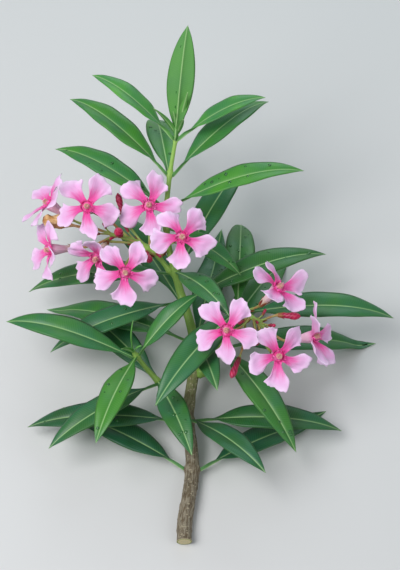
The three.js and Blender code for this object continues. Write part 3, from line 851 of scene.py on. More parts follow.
def add_bark(node):
    """Makes the woody stem.

    Cracks follow the places where a ripple that is stretched along the stem crosses zero. Pores are
    small bells at random places. A scar is a bell with a smaller bell taken out of it a little higher
    up, which leaves a half moon. The tube goes on over the cut face as rings that get smaller."""
    line, far, radii = plain_stem(node, 0)
    line, plain = domed(line, radii)
    far = np.append(far, far[-1] + along(line)[len(far):] - along(line)[len(far) - 1])
    turn = turns(BARK_SIDES)
    x, y, z = np.broadcast_arrays(np.cos(turn), np.sin(turn), far[:, None] / MM)
    crack = np.clip(1 - abs(ripple(3, x * 1.5, y * 1.5, z / 16)) / 0.14, 0, 1) ** 1.5
    crack *= np.clip(ripple(4, x * 0.8, y * 0.8, z / 25) + 0.6, 0, 1)
    uneven = ripple(5, x * 0.7, y * 0.7, z / 18) * UNEVEN + ripple(6, x * 3, y * 3, z / 5) * 0.08
    spots = rng.uniform(0, far[-1], PORES), rng.uniform(0, 2 * np.pi, PORES)
    on_bark = far, turn, plain.mean()
    pore = bells_on(*on_bark, spots, *PORE_SIZE)
    scars = np.repeat(SCAR_SHARES * far[-1], SCARS)
    bearings = np.add.outer(np.arange(len(SCAR_SHARES)), turns(SCARS)).ravel()
    scar = bells_on(*on_bark, (scars, bearings), SCAR_WIDTH * 0.8, SCAR_WIDTH)
    hollow = bells_on(*on_bark, (scars + MM, bearings), SCAR_WIDTH * 0.5, SCAR_WIDTH * 0.7)
    heights = node_relief(line, far, plain, BARK_SIDES) + SCAR_HEIGHT * (scar - 0.9 * hollow)
    heights = heights + uneven + PORE_HEIGHT * pore - CRACK_DEPTH * crack
    heights *= np.clip(far / (CLEAN_EDGE * MM), 0, 1)[:, None] * (plain / plain[0])[:, None] ** 0.5
    grid = round_grid(line, plain[:, None] + heights * MM, BARK_SIDES)
    grid[..., 2] = np.maximum(grid[..., 2], 0)
    middle = grid[0].mean(0)
    cap = middle + (grid[0] - middle) * CAP_SHARES[..., None]
    grid[0] += unit(line[1] - line[0]) * BEVEL * MM
    out = CAP_SHARES * plain[0] / MM
    cap_place = stacked(out * np.cos(turn), out * np.sin(turn), out)
    mood = stacked(crack, np.maximum(pore, hollow * 0.5), z / z.max())
    marks = np.concatenate([cap_place, stacked(x, y, z)]), np.concatenate([0 * cap_place, mood])
    finish = (np.arange(len(cap) + len(grid) - 1) < len(cap))[:, None].astype(int)
    parts = Parts()
    parts.tube(np.concatenate([cap, grid]), finish, *marks)
    parts.piece(f"{node}_bark", [bark, cut_wood], [node])


add_bark("main_stem")

# %% [markdown]
# ## Small blades
# Sepals, bracts, the fringe in a flower's throat and the youngest leaves are all small folded blades. One
# function makes many at once: it works on arrays whose first axis is the blade.

# %% Many small blades
def blades(base, way, face, length, width, bend=0.1, fold=0.2, widest=0.4, rows=9, columns=6):
    """Small blades (count, rows, columns + 1, 3) from arrays (count, 3), with sizes in metres.

    A point is base + way·length·t + face·bend·length·t² + across·u·half + face·fold·|u|·half. Half
    the width goes as t^a·(1 - t), with a set so that it is greatest at `widest`."""
    base, way, face = (np.asarray(a, float)[:, None, None] for a in (base, way, face))
    length, width = (np.reshape(np.broadcast_to(a, len(base)), (-1, 1, 1, 1)) for a in (length, width))
    t = np.linspace(0.03, 0.985, rows)[:, None, None]
    u = np.linspace(-1, 1, columns + 1)[:, None]
    power = widest / (1 - widest)
    half = width / 2 * t**power * (1 - t) / (widest**power * (1 - widest))
    line = base + way * length * t + face * bend * length * t**2
    return line + np.cross(way, face) * u * half + face * fold * abs(u) * half


def add_blades(parts, grid, depth, finish, back=None, *marks):
    """Adds blades to parts, with a depth in mm. Their backs may have a finish of their own."""
    quads = quads_of(np.arange(grid[..., 0].size).reshape(grid.shape[:3]))
    back = finish if back is None else back
    parts.sheet(grid.reshape(-1, 3), quads, depth * MM, finish, back, *marks)


# %% [markdown]
# ## Petal finish
# A petal is pale lilac-pink with a soft bloom, and a strong pink rises from the throat in streaks that
# fade out over its first third. The streaks are noise over the angle round the flower, which fans them
# out as veins do, compared with the share along the petal.

# %% Petal colours
PETAL_DEEP = (0.82, 0.075, 0.36)
PETAL_MID = (0.81, 0.31, 0.62)
PETAL_PALE = (0.83, 0.49, 0.79)
PETAL_EDGE = (0.90, 0.71, 0.92)
TUBE_PALE = (0.96, 0.60, 0.76)
TUBE_GREEN = (0.62, 0.56, 0.30)


def petal_finish(name, inner):
    """The pink of a petal's upper or lower face, from its marks.

    place is the cosine and sine of the angle round the flower and the share along the petal, which
    is under 0 in the tube. mood is the share across, a number for the petal and the flower's tint."""
    finish = Finish(name, Specular_IOR_Level=0.22, Sheen_Weight=0.08, Sheen_Roughness=0.4)
    cosine, sine, out = finish.mark("place")
    across, chance, tint = finish.mark("mood")
    broad = finish.noise(1.0, 3, cosine * 7, sine * 7, out * 1.5 + chance * 9)
    fine = finish.noise(1.0, 3, cosine * 26, sine * 26, out * 2.5 + chance * 9)
    cloud = finish.noise(140, 2)
    edge = finish.math("MAXIMUM", abs(across).rise(0.6, 1.0) * 0.8, out.rise(0.72, 1.0))
    reach = out + (broad - 0.5) * 0.55 + (fine - 0.5) * 0.5 + tint * 0.5
    veins = fine.rise(0.54, 0.66) * out.rise(0.8, 0.15)
    layers = [
        ((out + (cloud - 0.5) * 0.5 + tint).rise(0.1, 0.95), PETAL_PALE),
        (edge * out.rise(0.3, 0.8) * 0.7, PETAL_EDGE),
        (reach.rise(0.60 if inner else 0.34, 0.08) * (0.95 if inner else 0.5), PETAL_DEEP),
        (veins * (0.55 if inner else 0.3), PETAL_DEEP),
    ]
    if not inner:
        layers.append((out.rise(0.06, -0.2) * (1 - fine.rise(0.45, 0.7) * 0.4), TUBE_PALE))
    layers.append((out.rise(-0.4, -0.85) * 0.7, TUBE_GREEN))
    return finish.cover(PETAL_MID, layers, fine * 0.2 + 0.46, fine * 0.22 + cloud * 0.3)


petal_top = petal_finish("petal_upper_face", True)
petal_back = petal_finish("petal_lower_face", False)

# %% Calyx, stalk and anther colours
def blended(name, first, second, scale, rough, relief):
    """A finish of two colours that noise blends, with a fine relief in millimetres."""
    finish = Finish(name)
    blend = finish.noise(scale, 4)
    fine = finish.noise(scale * 6, 3)
    layers = [(blend.rise(0.35, 0.65), second)]
    return finish.cover(first, layers, fine * 0.2 + rough, fine * relief + blend * relief)


calyx = blended("calyx", (0.22, 0.022, 0.02), (0.36, 0.13, 0.045), 260, 0.4, 0.1)
stalk = blended("flower_stalk", (0.34, 0.50, 0.12), (0.46, 0.22, 0.09), 150, 0.4, 0.06)
anther = blended("anthers", (0.92, 0.42, 0.46), (0.88, 0.68, 0.50), 700, 0.7, 0.15)
fringe = blended("throat_fringe", (0.96, 0.07, 0.42), (0.97, 0.27, 0.62), 300, 0.5, 0.05)

# %% [markdown]
# ## Flowers
# An oleander flower is a trumpet that opens into five petals like the blades of a pinwheel. Each has a
# narrow claw, widens to a broad end that is cut aslant, and is a little ragged there. Sculpting eleven
# flowers would take days. Here the whole corolla is one sheet: rings of points climb the tube, and each
# petal is a grid that starts on its fifth of the rim. The solid gives each flower its place, its
# direction, its size and the cup of its petals.

# %% Where a flower is and which way it looks
PETALS = 5
RIM = 3.9  # millimetres from a flower's axis to the rim of its throat
TUBE = 19  # from the foot of the calyx to the rim
SOLID_THICKNESS = 0.45  # half the thickness of a solid's petals
CURL = 0.16  # how far the tips turn down, as a share of the petal's reach
LIFT = 0.15  # how far one side of a petal stands over the other, as a share of its reach
LIFT_STRETCH = 2.2


def flower_axes(node):
    """A flower's rim centre, its facing, the direction of one petal's middle, its reach and its cup.

    The longest points of the outermost ring are the petals' middles. The cup is the slope that a
    straight petal would have, so that less its curl it ends at the height of those points."""
    _, rings, _ = stacks[node]
    middles = rings.mean(1)
    facing = unit(middles[5] - middles[2])
    off = rings[7] - middles[9]
    up = off @ facing
    flat = off - up[:, None] * facing
    reach = np.linalg.norm(flat, axis=1)
    tips = np.argsort(reach)[-PETALS:]
    longest = reach[tips].mean()
    cup = (up[tips].mean() + SOLID_THICKNESS * MM + CURL * longest) / (longest - RIM * MM)
    return middles[9], facing, unit(flat[tips[-1]]), longest / MM, cup


# %% The outline of a petal
PETAL_COLUMNS = 14
PETAL_ROWS = 30
OUT_KNOTS = [0, 0.1, 0.28, 0.52, 0.76, 0.92, 1.0]  # shares of the way from the rim to the tip
HALF_ANGLES = np.radians([36, 25, 21.5, 23, 25.5, 26, 25])
BULGE = 0.24  # how much wider one side of a petal is, and narrower the other
CORNER = 0.6  # the share across at which the tip's corner lies
SLANT = 0.24  # how far the tip falls back on the straight side, as a share of the reach
ROUND = 0.15  # and beyond the corner
RAGGED = 0.026
NOTCH = 0.07  # depth of the notch that some tips have
NOTCH_WIDTH = 0.16
BEND = 0.09  # how far a petal's end bends round, in radians
WIDTH_SPREAD = 0.17  # how much petals differ in width at their tips, as a share of it
LENGTH_SPREAD = 0.06
CORNER_SPREAD = 0.2
SLANT_SPREAD = 0.3


def petal_outline(u, v, seed):
    """The share of the reach and the angle of points u across and v along a petal.

    The angle is u times a half angle, which falls from the rim to the claw and then grows to the
    blade, a little more on one side, and the petal bends like the square of v. The reach falls away
    from the corner as a power on both sides, and a ripple and a notch make the end ragged."""
    broad, corner, aslant, notch, notched, bend, long = np.random.default_rng(seed).uniform(-1, 1, 7)
    half = through(OUT_KNOTS, HALF_ANGLES, v[:, 0]) * (1 + WIDTH_SPREAD * broad * v)
    angle = u * half * (1 + BULGE * u * np.sin(np.pi * v**1.5)) + BEND * bend * v**2
    corner = CORNER + CORNER_SPREAD * corner
    slant = SLANT * (1 + SLANT_SPREAD * aslant) * np.clip((corner - u) / (1 + corner), 0, 1) ** 1.05
    rounding = ROUND * np.clip((u - corner) / (1 - corner), 0, 1) ** 1.2
    ragged = RAGGED * (ripple(seed, u * 1.5) + 0.5 * ripple(seed + 1, u * 4)) * v**8
    notches = NOTCH * max(notch, 0) * bell(u - 0.6 * notched, NOTCH_WIDTH) * v**8
    return 1 - LENGTH_SPREAD * max(-long, 0) - slant - rounding + ragged - notches, angle


# %% The height of a petal
CHANNEL = 6.0  # millimetres. A claw's sides stand up to a seventh of this over its middle
WAVINESS = 1.4
DROOP_SPREAD = 0.14  # how much the slope differs between a flower's petals
CURL_SPREAD = 0.8  # how much the curl differs, as a share of it
LIFT_SPREAD = 0.8
FOLD_SPREAD = 0.55  # how far a petal's sides stand over its middle or hang under it
FOLD_SOFT = 0.08  # the angle within which the fold is round


def petal_points(u, v, longest, cup, seed):
    """Points of one petal in mm as distance out, angle and height over the rim.

    The height is a cone's, less a curl like the square of the share out, plus the pinwheel's lift
    like the sine of the stretched angle, plus a fold like the distance from the middle line, plus a
    channel that is deepest in the claw, plus waves. The first four differ from petal to petal."""
    tip, angle = petal_outline(u, v, seed)
    run = (longest * tip - RIM) * v
    out = run / (longest - RIM)
    droop, curl, lift, fold = np.random.default_rng(seed + 2).uniform(-1, 1, 4)
    height = run * (cup + DROOP_SPREAD * droop) - CURL * (1 + CURL_SPREAD * curl) * longest * out**2
    height = height + LIFT * (1 + LIFT_SPREAD * lift) * longest * out * np.sin(angle * LIFT_STRETCH)
    height = height + FOLD_SPREAD * fold * (RIM + run) * (np.hypot(angle, FOLD_SOFT) - FOLD_SOFT) * out
    height = height + CHANNEL * u**2 * v * (1 - v) ** 2
    waves = ripple(seed + 3, u * 0.5 + 0 * v, v * 1.0) + 0.5 * ripple(seed + 4, u * 1.5 + 0 * v, v * 2)
    return RIM + run, angle, height + WAVINESS * waves * v**1.5


# %% The corolla as one sheet
TUBE_HEIGHTS = [-1.0, -0.84, -0.62, -0.45, -0.25, -0.08, 0.0]  # shares of the tube's length
TUBE_RADII = [1.4, 1.9, 2.1, 2.5, 3.3, 3.75, RIM]
TUBE_ROWS = 18
TUBE_LOBES = 0.035  # how far it bulges under each petal, as a share of the radius
FLOWER_REACH = 23  # the reach in millimetres of a flower of size 1
PETAL_DEPTH = 0.32


def add_corolla(parts, centre, facing, across, longest, cup, seed, tint):
    """Adds the tube and the petals of a flower. The tube's last ring is the first row of the petals."""
    other = np.cross(facing, across)
    columns = PETALS * PETAL_COLUMNS
    laid = []

    def placed(distance, angle, height):
        """From distance out, angle round and height over the rim, in mm, to a point in space."""
        distance, angle, height = (a[..., None] for a in np.broadcast_arrays(distance, angle, height))
        flat = np.cos(angle) * across + np.sin(angle) * other
        return centre + MM * (distance * flat + height * facing)

    def lay(distance, angle, height, share, u, chance):
        """Adds a grid of points with their marks."""
        place = stacked(np.cos(angle), np.sin(angle), share)
        mood = stacked(abs(u), chance, tint + 0 * share)
        laid.append([a.reshape(-1, 3) for a in (placed(distance, angle, height), place, mood)])

    share = np.linspace(TUBE_HEIGHTS[0], 0, TUBE_ROWS)[:, None]
    angle = turns(columns) - math.pi / PETALS
    lobes = 1 + TUBE_LOBES * np.cos(PETALS * angle)
    u = np.arange(columns) % PETAL_COLUMNS * 2 / PETAL_COLUMNS - 1
    radii = through(TUBE_HEIGHTS, TUBE_RADII, share[:, 0])
    lay(radii * lobes, angle, share * TUBE * longest / FLOWER_REACH, share, u, 0.5)
    tube = closed(np.arange(TUBE_ROWS * columns).reshape(TUBE_ROWS, -1))
    quads = [quads_of(tube)]
    u, v = np.linspace(-1, 1, PETAL_COLUMNS + 1), np.linspace(0, 1, PETAL_ROWS + 1)[1:, None]
    for petal in range(PETALS):
        distance, angle, height = petal_points(u, v, longest, cup, seed + 10 * petal)
        lay(distance, angle + petal * 2 * math.pi / PETALS, height, v, u, rng.uniform())
        index = np.arange(PETAL_ROWS * len(u)).reshape(PETAL_ROWS, -1) + TUBE_ROWS * columns
        foot = tube[-1:, petal * PETAL_COLUMNS:][:, : len(u)]
        quads.append(quads_of(np.concatenate([foot, index + petal * index.size])))
    points, *marks = (np.concatenate(a) for a in zip(*laid, strict=True))
    parts.sheet(points, np.concatenate(quads)[:, ::-1], PETAL_DEPTH * MM, 0, 1, *marks)
    return placed


# %% The fringe and the anthers in the throat
TEETH = 6  # narrow lobes in front of each petal
TOOTH_LENGTHS = (2.2, 3.7)  # millimetres
TOOTH_WIDTH = 0.95
TOOTH_DEPTH = 0.14
CONE_HEIGHTS = [-6.0, -2.6, -0.9, -0.4, 0.0, 0.7, 1.5, 2.0]
CONE_RADII = [1.6, 3.0, 3.7, 3.2, 2.3, 1.6, 1.0, 0.4]
CONE_LOBES = 0.13  # how far each anther bulges, as a share of the radius
CONE_ROWS = 25
CONE_SIDES = 30
BEIGE_FROM = 0.9  # the cone and its hairs are pink under this height
THREADS = 5  # one on each anther
THREAD_TWIST = 4.5  # radians
THREAD_ROWS = 18
THREAD_SIDES = 6
HAIRS = 330
HAIR_SIZE = (1.3 * MM, 0.22 * MM)  # length and width
HAIR_DEPTH = 0.05
HAIR_HEIGHTS = [-0.6, 0.0, 0.7, 1.5, 3.6]
HAIR_RADII = [3.3, 2.2, 1.6, 1.0, 0.7]  # where a hair's foot stands at each of these heights


def add_throat(parts, placed, facing, across, seed, pink, beige):
    """Adds the toothed fringe round the mouth, the cone of anthers and their twisted, hairy threads.

    The cone's radius is a smooth line through the knots, times 1 plus a cosine with a crest for each
    anther. A thread climbs and winds as it nears the axis. Hairs stand on the cone at random places."""
    draw = np.random.default_rng(seed)
    angle = np.add.outer(np.arange(PETALS) * 72, np.linspace(-27, 27, TEETH)).ravel()
    angle = np.radians(angle + draw.uniform(-3, 3, len(angle)))
    base = placed(RIM - 0.1, angle, -0.2)
    lean = draw.uniform(-0.2, 1.9, len(angle))
    way = unit(placed(RIM + lean, angle + draw.uniform(-0.2, 0.2, len(angle)), 2.0) - base)
    radial = unit(placed(9.0, angle, 0.0) - placed(0.0, angle, 0.0))
    face = unit(np.cross(way, np.cross(way, radial)))
    length = draw.uniform(*TOOTH_LENGTHS, len(angle)) * MM
    bend = draw.uniform(-0.1, 0.5, (len(angle), 1, 1, 1))
    teeth = blades(base, way, -face, length, TOOTH_WIDTH * MM, bend=-bend, widest=0.35, rows=8, columns=4)
    add_blades(parts, teeth, TOOTH_DEPTH, pink)
    height = np.linspace(CONE_HEIGHTS[0], CONE_HEIGHTS[-1], CONE_ROWS)[:, None]
    turn = turns(CONE_SIDES)
    lobes = 1 + CONE_LOBES * np.cos(THREADS * turn) * np.clip(height + 0.5, 0, 1)
    radii = through(CONE_HEIGHTS, CONE_RADII, height[:, 0]) * lobes
    parts.tube(placed(radii, turn, height), np.where(height[1:] < BEIGE_FROM, pink, beige))
    out = np.linspace(0, 1, THREAD_ROWS)
    for thread in range(THREADS):
        twisted = thread * 2 * math.pi / THREADS + out * THREAD_TWIST + draw.uniform(-0.2, 0.2)
        line = placed(1.3 - 0.8 * out, twisted, 0.6 + 3.0 * out)
        thick = (0.42 - 0.22 * out) * (1 + 0.35 * ripple(seed + thread, out * 6)) * MM
        parts.tube(round_grid(line, thick, THREAD_SIDES, across), beige)
    rise = np.sort(draw.uniform(HAIR_HEIGHTS[0], HAIR_HEIGHTS[-1], HAIRS))
    bearing = draw.uniform(0, 2 * math.pi, HAIRS)
    stand = np.interp(rise, HAIR_HEIGHTS, HAIR_RADII)
    root = placed(stand, bearing, rise)
    hair = unit(placed(stand + 0.8, bearing + 0.4, rise + draw.uniform(0.2, 1.3, HAIRS)) - root)
    side = unit(np.cross(hair, facing))
    grid = blades(root, hair, np.cross(side, hair), *HAIR_SIZE, widest=0.2, rows=3, columns=2)
    below = np.searchsorted(rise, BEIGE_FROM)
    add_blades(parts, grid[:below], HAIR_DEPTH, pink)
    add_blades(parts, grid[below:], HAIR_DEPTH, beige)


# %% The calyx and the stalk
SEPALS = 5
SEPAL_LENGTHS = (5.6, 7.0)  # millimetres
SEPAL_WIDTH = 2.3
SEPAL_DEPTH = 0.3
SEPAL_SUNK = 0.3
CALYX = 1.95  # from the axis to a sepal's foot
CUP_LENGTH = 1.3
STALK_SIDES = 14
STALK_ROWS = 34
STALK_ROOT = 2.2  # how far a stalk reaches into its peduncle
BRACT_LENGTHS = (4.5, 7.0)
BRACT_WIDTH = 1.9
BRACT_DEPTH = 0.25


def add_calyx(parts, foot, facing, across, size, finish):
    """Adds narrow sepals that hug the tube. Each starts on the receptacle, a fifth of a turn apart."""
    turn = (turns(SEPALS) + math.pi / SEPALS)[:, None]
    away = np.cos(turn) * across + np.sin(turn) * np.cross(facing, across)
    base = foot + away * CALYX * size * MM - facing * SEPAL_SUNK * MM
    way = unit(facing + away * 0.1)
    face = unit(away - way * (away * way).sum(1, keepdims=True))
    length = rng.uniform(*SEPAL_LENGTHS, SEPALS) * size * MM
    grid = blades(base, way, face, length, SEPAL_WIDTH * size * MM, bend=0.12, fold=-0.35, widest=0.22)
    add_blades(parts, grid, SEPAL_DEPTH, finish)


def add_stalk(parts, node, inside, width, cup, finish):
    """Adds the stalk of a flower or bud, which starts in its peduncle and swells under the calyx.

    Its radius is the stalk's, a little uneven, plus a bell over the distance from the foot that it
    reaches, where it is the cup's."""
    first, rings, _ = stacks[node]
    middle, foot = rings[1].mean(0), rings[2].mean(0)
    start = first - unit(middle - first) * STALK_ROOT * MM
    line = np.stack([start, first, middle, foot, foot + inside])
    walked = along(line)
    far = np.linspace(0, 1, STALK_ROWS) ** 0.8
    radii = width * (1 + 0.06 * ripple(len(node), far * 4))
    far = far * walked[-1]
    radii += (cup - width) * bell(far - walked[3], CUP_LENGTH * MM)
    parts.tube(round_grid(through(walked, line, far), radii * MM, STALK_SIDES), finish)


def add_bract(parts, node, finish):
    """Adds the small scale that stands under a stalk's foot."""
    first, rings, _ = stacks[node]
    way = unit(rings[1].mean(0) - first)
    under = unit(np.cross(np.cross(way, (0, 0, -1)), way))
    base = first - way * MM + under * MM
    way = unit(way + under * 0.55)
    face = unit(-under + way * (under @ way))
    size = rng.uniform(*BRACT_LENGTHS) * MM, BRACT_WIDTH * MM
    grid = blades(base[None], way[None], face[None], *size, bend=0.25, fold=0.35, widest=0.3)
    add_blades(parts, grid, BRACT_DEPTH, finish)


# %% Flowers
FLOWER_FINISHES = [petal_top, petal_back, calyx, stalk, anther, fringe]  # 0 to 5 below
TINT_SPREAD = 0.08
for seed, node in enumerate(named("bloom_")):
    centre, facing, across, longest, cup = flower_axes(node)
    size = longest / FLOWER_REACH
    parts = Parts()
    tint = rng.uniform(-TINT_SPREAD, TINT_SPREAD)
    placed = add_corolla(parts, centre, facing, across, longest, cup, 100 * seed, tint)
    add_throat(parts, placed, facing, across, seed, 5, 4)
    add_calyx(parts, stacks[node][1][2].mean(0), facing, across, size, 2)
    add_stalk(parts, node, facing * 2.4 * MM, 0.85, CALYX * size * 0.95, 3)
    add_bract(parts, node, 2)
    parts.piece(node.replace("bloom", "flower"), FLOWER_FINISHES, [node])

# %% [markdown]
# ## Buds
# A bud's petals are rolled round each other, so a bud is a spindle with five low ridges that wind round
# it. A sawtooth wave over the turn plus a twist makes the overlapping edges.

# %% Bud finish
BUD_RED = (0.56, 0.012, 0.075)
BUD_DARK = (0.30, 0.006, 0.035)
BUD_PINK = (0.78, 0.10, 0.30)


def bud_finish():
    """The red of a bud. place is the share of a petal's edge, the share along and nothing."""
    finish = Finish("bud", Specular_IOR_Level=0.5)
    edge, out, _ = finish.mark("place")
    cloud = finish.noise(300, 3)
    layers = [
        (cloud.rise(0.35, 0.7), BUD_DARK),
        ((edge + (cloud - 0.5) * 0.4).rise(0.45, 1.0) * 0.7, BUD_PINK),
        (out.rise(0.3, 0.0) * 0.5, GREEN_RED),
    ]
    return finish.cover(BUD_RED, layers, cloud * 0.2 + 0.28, cloud * 0.15)


bud_red = bud_finish()

# %% Bud shape
BUD_KNOTS = [0, 0.18, 0.45, 0.72, 0.9, 1.0]
BUD_RADII = [0.35, 0.66, 0.78, 1.0, 0.66, 0.04]
BUD_ROWS = 34
BUD_SIDES = 60
BUD_TWIST = 1.1  # turns of the ridges from foot to tip
RIDGE = 0.11


def square_to(way):
    """A direction square to one that isn't upright."""
    return unit(np.cross(way, (0.3, 0.2, 1)))


def add_bud(parts, foot, tip, radius, finish):
    """Adds a bud. Its radius is a spindle's, times 1 plus a ridge that falls off like a sawtooth."""
    t = np.linspace(0, 1, BUD_ROWS)[:, None]
    saw = (PETALS * turns(BUD_SIDES) / (2 * math.pi) + PETALS * BUD_TWIST * t) % 1
    spindle = through(BUD_KNOTS, BUD_RADII, t[:, 0])
    radii = radius * spindle * (1 + RIDGE * (saw**1.5 - 0.5) * np.clip(4 * t, 0, 1))
    grid = round_grid(foot + (tip - foot) * t, radii, BUD_SIDES, square_to(tip - foot))
    parts.tube(grid, finish, stacked(saw, t, 0))


# %% Buds
BUD_FINISHES = [bud_red, calyx, stalk]  # 0, 1 and 2 below
BUD_RADIUS = 3.2  # millimetres, of a bud whose calyx has size 1
for node in named("bud_"):
    _, rings, tip = stacks[node]
    foot = rings[2].mean(0)
    radius = np.linalg.norm(rings[5] - rings[5].mean(0), axis=1).mean()
    facing = unit(tip - foot)
    size = radius / MM / BUD_RADIUS
    parts = Parts()
    add_bud(parts, foot, tip, radius, 0)
    add_calyx(parts, foot, facing, square_to(facing), size, 1)
    add_stalk(parts, node, facing * 1.5 * MM, 0.75, CALYX * size * 0.9, 2)
    add_bract(parts, node, 1)
    parts.piece(f"{node}_fine", BUD_FINISHES, [node])

# %% [markdown]
# ## Youngest leaves, small buds and a withered flower
# The tips of the shoots still open: a few narrow bright leaves stand in each. Between the flowers sit
# buds that are only a few millimetres long, and on the left one flower has gone over and shrunk to a
# brown roll. These are too small to be solids of their own, so they grow from the ends of the stems.

# %% Directions
def direction(heading, rise):
    """The unit vector at a heading anticlockwise from +X and a rise above level, in degrees."""
    heading, rise = np.radians(heading), np.radians(rise)
    return np.array([np.cos(rise) * np.cos(heading), np.cos(rise) * np.sin(heading), np.sin(rise)])


def stem_point(node, share):
    """The point at a share of a stem's length, and the way that the stem runs there."""
    centres = stacks[node][1].mean(1)
    walked = along(centres)
    at = share * walked[-1]
    point, ahead = through(walked, centres, np.array([at - MM, at]))[::-1]
    return point, unit(point - ahead)


# %% Youngest leaves
YOUNG_ROWS = 24
YOUNG_COLUMNS = 8
YOUNG_DEPTH = 0.3  # millimetres
YOUNG_LEAVES = {  # heading, rise, length and width of each, in degrees and millimetres
    "leader": [(60, 62, 34, 5), (180, 58, 30, 4.6), (300, 68, 26, 4.2), (110, 72, 20, 3.2), (350, 74, 16, 3)],
    "side": [(100, 55, 24, 4.2), (220, 60, 20, 3.6), (330, 62, 17, 3.2)],
}
for stem, leaves in YOUNG_LEAVES.items():
    tip, stem_way = stem_point(f"shoot_{stem}", 1.0)
    heading, rise, length, width = np.array(leaves).T
    way = unit(direction(heading, rise).T + 0.35 * stem_way)
    face = unit(stem_way - way * (way @ stem_way)[:, None])
    size = length * MM, width * MM
    shape = {"bend": -0.22, "fold": 0.35, "widest": 0.42, "rows": YOUNG_ROWS, "columns": YOUNG_COLUMNS}
    grid = blades(tip - way * MM, way, face, *size, **shape)
    u, t = np.linspace(-1, 1, YOUNG_COLUMNS + 1), np.linspace(0, 1, YOUNG_ROWS)[:, None]
    half = np.linalg.norm(grid[:, :, -1] - grid[:, :, 0], axis=2)[..., None] / 2 / MM
    place = stacked(u * half, t * length[:, None, None], abs(u))
    mood = stacked(1.0, t, 0.3 + 0 * place[..., 0])
    parts = Parts()
    add_blades(parts, grid, YOUNG_DEPTH, 0, 1, place.reshape(-1, 3), mood.reshape(-1, 3))
    parts.piece(f"young_leaves_{stem}", [leaf_top, leaf_back])

# %% Small buds
SMALL_BUDS = {  # share of the peduncle, heading, rise, length of the stalk and of the bud
    "left": [
        (0.30, 210, -10, 9, 6.5), (0.34, 315, 8, 8, 5), (0.42, 265, 8, 7, 5.5), (0.62, 120, 25, 8, 6),
        (0.86, 235, 35, 6, 5), (0.99, 185, 5, 7, 6), (0.97, 130, 40, 6, 4.5),
    ],
    "right": [
        (0.45, 220, 15, 8, 6), (0.72, 60, 15, 7, 5), (0.82, 330, 38, 8, 6), (0.97, 270, 0, 7, 5.5),
        (0.6, 285, 40, 6, 4.5),
    ],
}
THIN_STALK = 0.55  # its radius in millimetres
THIN_ROWS = 14
THIN_SIDES = 10
SLIMNESS = 0.2  # a bud's radius, as a share of its length
BUD_LENGTH = 14  # millimetres, of a small bud whose calyx has size 1


def add_small_bud(parts, peduncle, share, heading, rise, stalk_length, length):
    """Adds a bud with its calyx on a short stalk that leaves a peduncle and bends to its direction."""
    start, stem_way = stem_point(peduncle, share)
    facing = direction(heading, rise)
    foot = start + (0.75 * facing + 0.45 * stem_way) * stalk_length * MM
    line = np.stack([start, start + (foot - start) * 0.5 + stem_way * 0.5 * MM, foot, foot + facing * MM])
    line = through(along(line), line, np.linspace(0, along(line)[-1], THIN_ROWS))
    parts.tube(round_grid(line, np.full(THIN_ROWS, THIN_STALK * MM), THIN_SIDES), 2)
    add_bud(parts, foot, foot + facing * length * MM, SLIMNESS * length * MM, 0)
    add_calyx(parts, foot, facing, square_to(facing), length / BUD_LENGTH, 1)


for stem, buds in SMALL_BUDS.items():
    parts = Parts()
    for bud in buds:
        add_small_bud(parts, f"peduncle_{stem}", *bud)
    parts.piece(f"small_buds_{stem}", BUD_FINISHES)

# %% The withered flower
WITHERED_AT = np.array([-103, 44, 74]) * MM
WITHERED_KNOTS = [0, 0.3, 0.36, 0.42, 0.6, 0.72, 0.85, 0.95, 1.0]
WITHERED_RADII = [0.8, 0.8, 1.7, 1.3, 1.4, 3.4, 5.0, 4.4, 1.6]  # millimetres
WITHERED_ARCH = np.array([1.2, 1.0, 0.4])  # how far the three inner points of its line stand up
STALK_END = 0.33  # share of the length
FOLDS = 0.30  # height of the folds and depth of the creases, as shares of the radius
CREASES = 0.28
TIPS_ROW = 46  # the row of its line at which the petals' tips stand out
TIP_TURNS = np.array([0.2, 1.3, 2.5, 3.6, 4.9])[:, None]  # radians
TIP_SIZE = (8 * MM, 4.5 * MM)  # length and width
TIP_DEPTH = 0.35
WITHERED_ROWS = 70
WITHERED_SIDES = 40

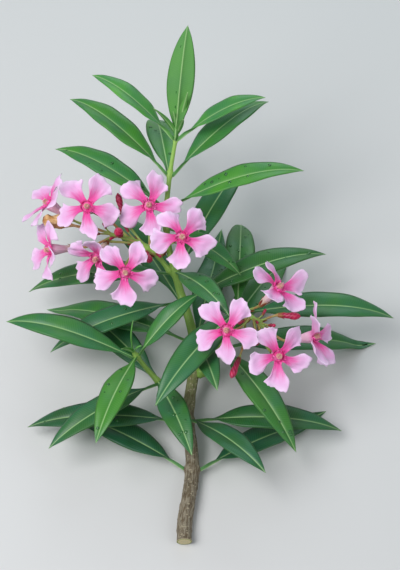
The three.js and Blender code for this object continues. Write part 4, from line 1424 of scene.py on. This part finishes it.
withered = blended("withered_petal", (0.56, 0.27, 0.08), (0.80, 0.54, 0.27), 240, 0.6, 0.5)
start, _ = stem_point("peduncle_left", 0.98)
reach = WITHERED_AT - start
line = start + np.linspace(0, 1.08, 5)[:, None] * reach
line[1:4, 2] += WITHERED_ARCH * MM
t, turn = np.linspace(0, 1, WITHERED_ROWS)[:, None], turns(WITHERED_SIDES)
line = through(np.linspace(0, 1, 5), line, t[:, 0])
x, y, z = np.broadcast_arrays(np.cos(turn), np.sin(turn), t)
uneven = FOLDS * ripple(31, x * 0.9, y * 0.9, z * 5) - CREASES * abs(ripple(32, x * 2.2, y * 2.2, z * 3))
uneven = uneven * np.clip((t - STALK_END) * 3, 0, 1)
radii = through(WITHERED_KNOTS, WITHERED_RADII, t[:, 0]) * (1 + uneven)
parts = Parts()
parts.tube(round_grid(line, radii * MM, WITHERED_SIDES), (t[1:] > STALK_END).astype(int))
way = unit(reach)
side = unit(np.cross(way, (0, 0, 1)))
away = np.cos(TIP_TURNS) * side + np.sin(TIP_TURNS) * np.cross(way, side)
base = line[TIPS_ROW] + away * 2.2 * MM
tips = blades(base, unit(way + 0.5 * away), -away, *TIP_SIZE, bend=0.55, fold=0.5, rows=12)
tips += 0.5 * MM * ripple(33, *(tips.transpose(3, 0, 1, 2) / (6 * MM)))[..., None]
add_blades(parts, tips, TIP_DEPTH, 1)
parts.piece("withered_flower", [stalk, withered])

# %% [markdown]
# ## Drops of water
# The photograph was taken after rain, and drops stand on some leaves as small domes. A drop shows the
# leaf under it, darker and glossy. Here it is an opaque dark green dome with a smooth wet surface.

# %% Drops
DROP_HEIGHT = 0.55  # a share of the radius
DROP_SUNK = 0.1  # millimetres that its rim lies in the leaf
DROP_TURNS = np.linspace(0, 1.45, 6)  # turns from the rim to near the top, in radians
DROP_SIDES = 14
DROP_GREEN = (0.018, 0.12, 0.02)

wet = Finish("drop", Base_Color=DROP_GREEN, Roughness=0.05, Specular_IOR_Level=0.7)
for stem, fallen in drops.items():
    parts = Parts()
    for place, out, radius in fallen:
        heights = np.sin(DROP_TURNS) * DROP_HEIGHT * radius - DROP_SUNK
        line = place + out * heights[:, None] * MM
        start = np.cross(out, (0.1, 0.2, 1))
        parts.tube(round_grid(line, np.cos(DROP_TURNS) * radius * MM, DROP_SIDES, start))
    parts.piece(f"drops_{stem}", [wet])
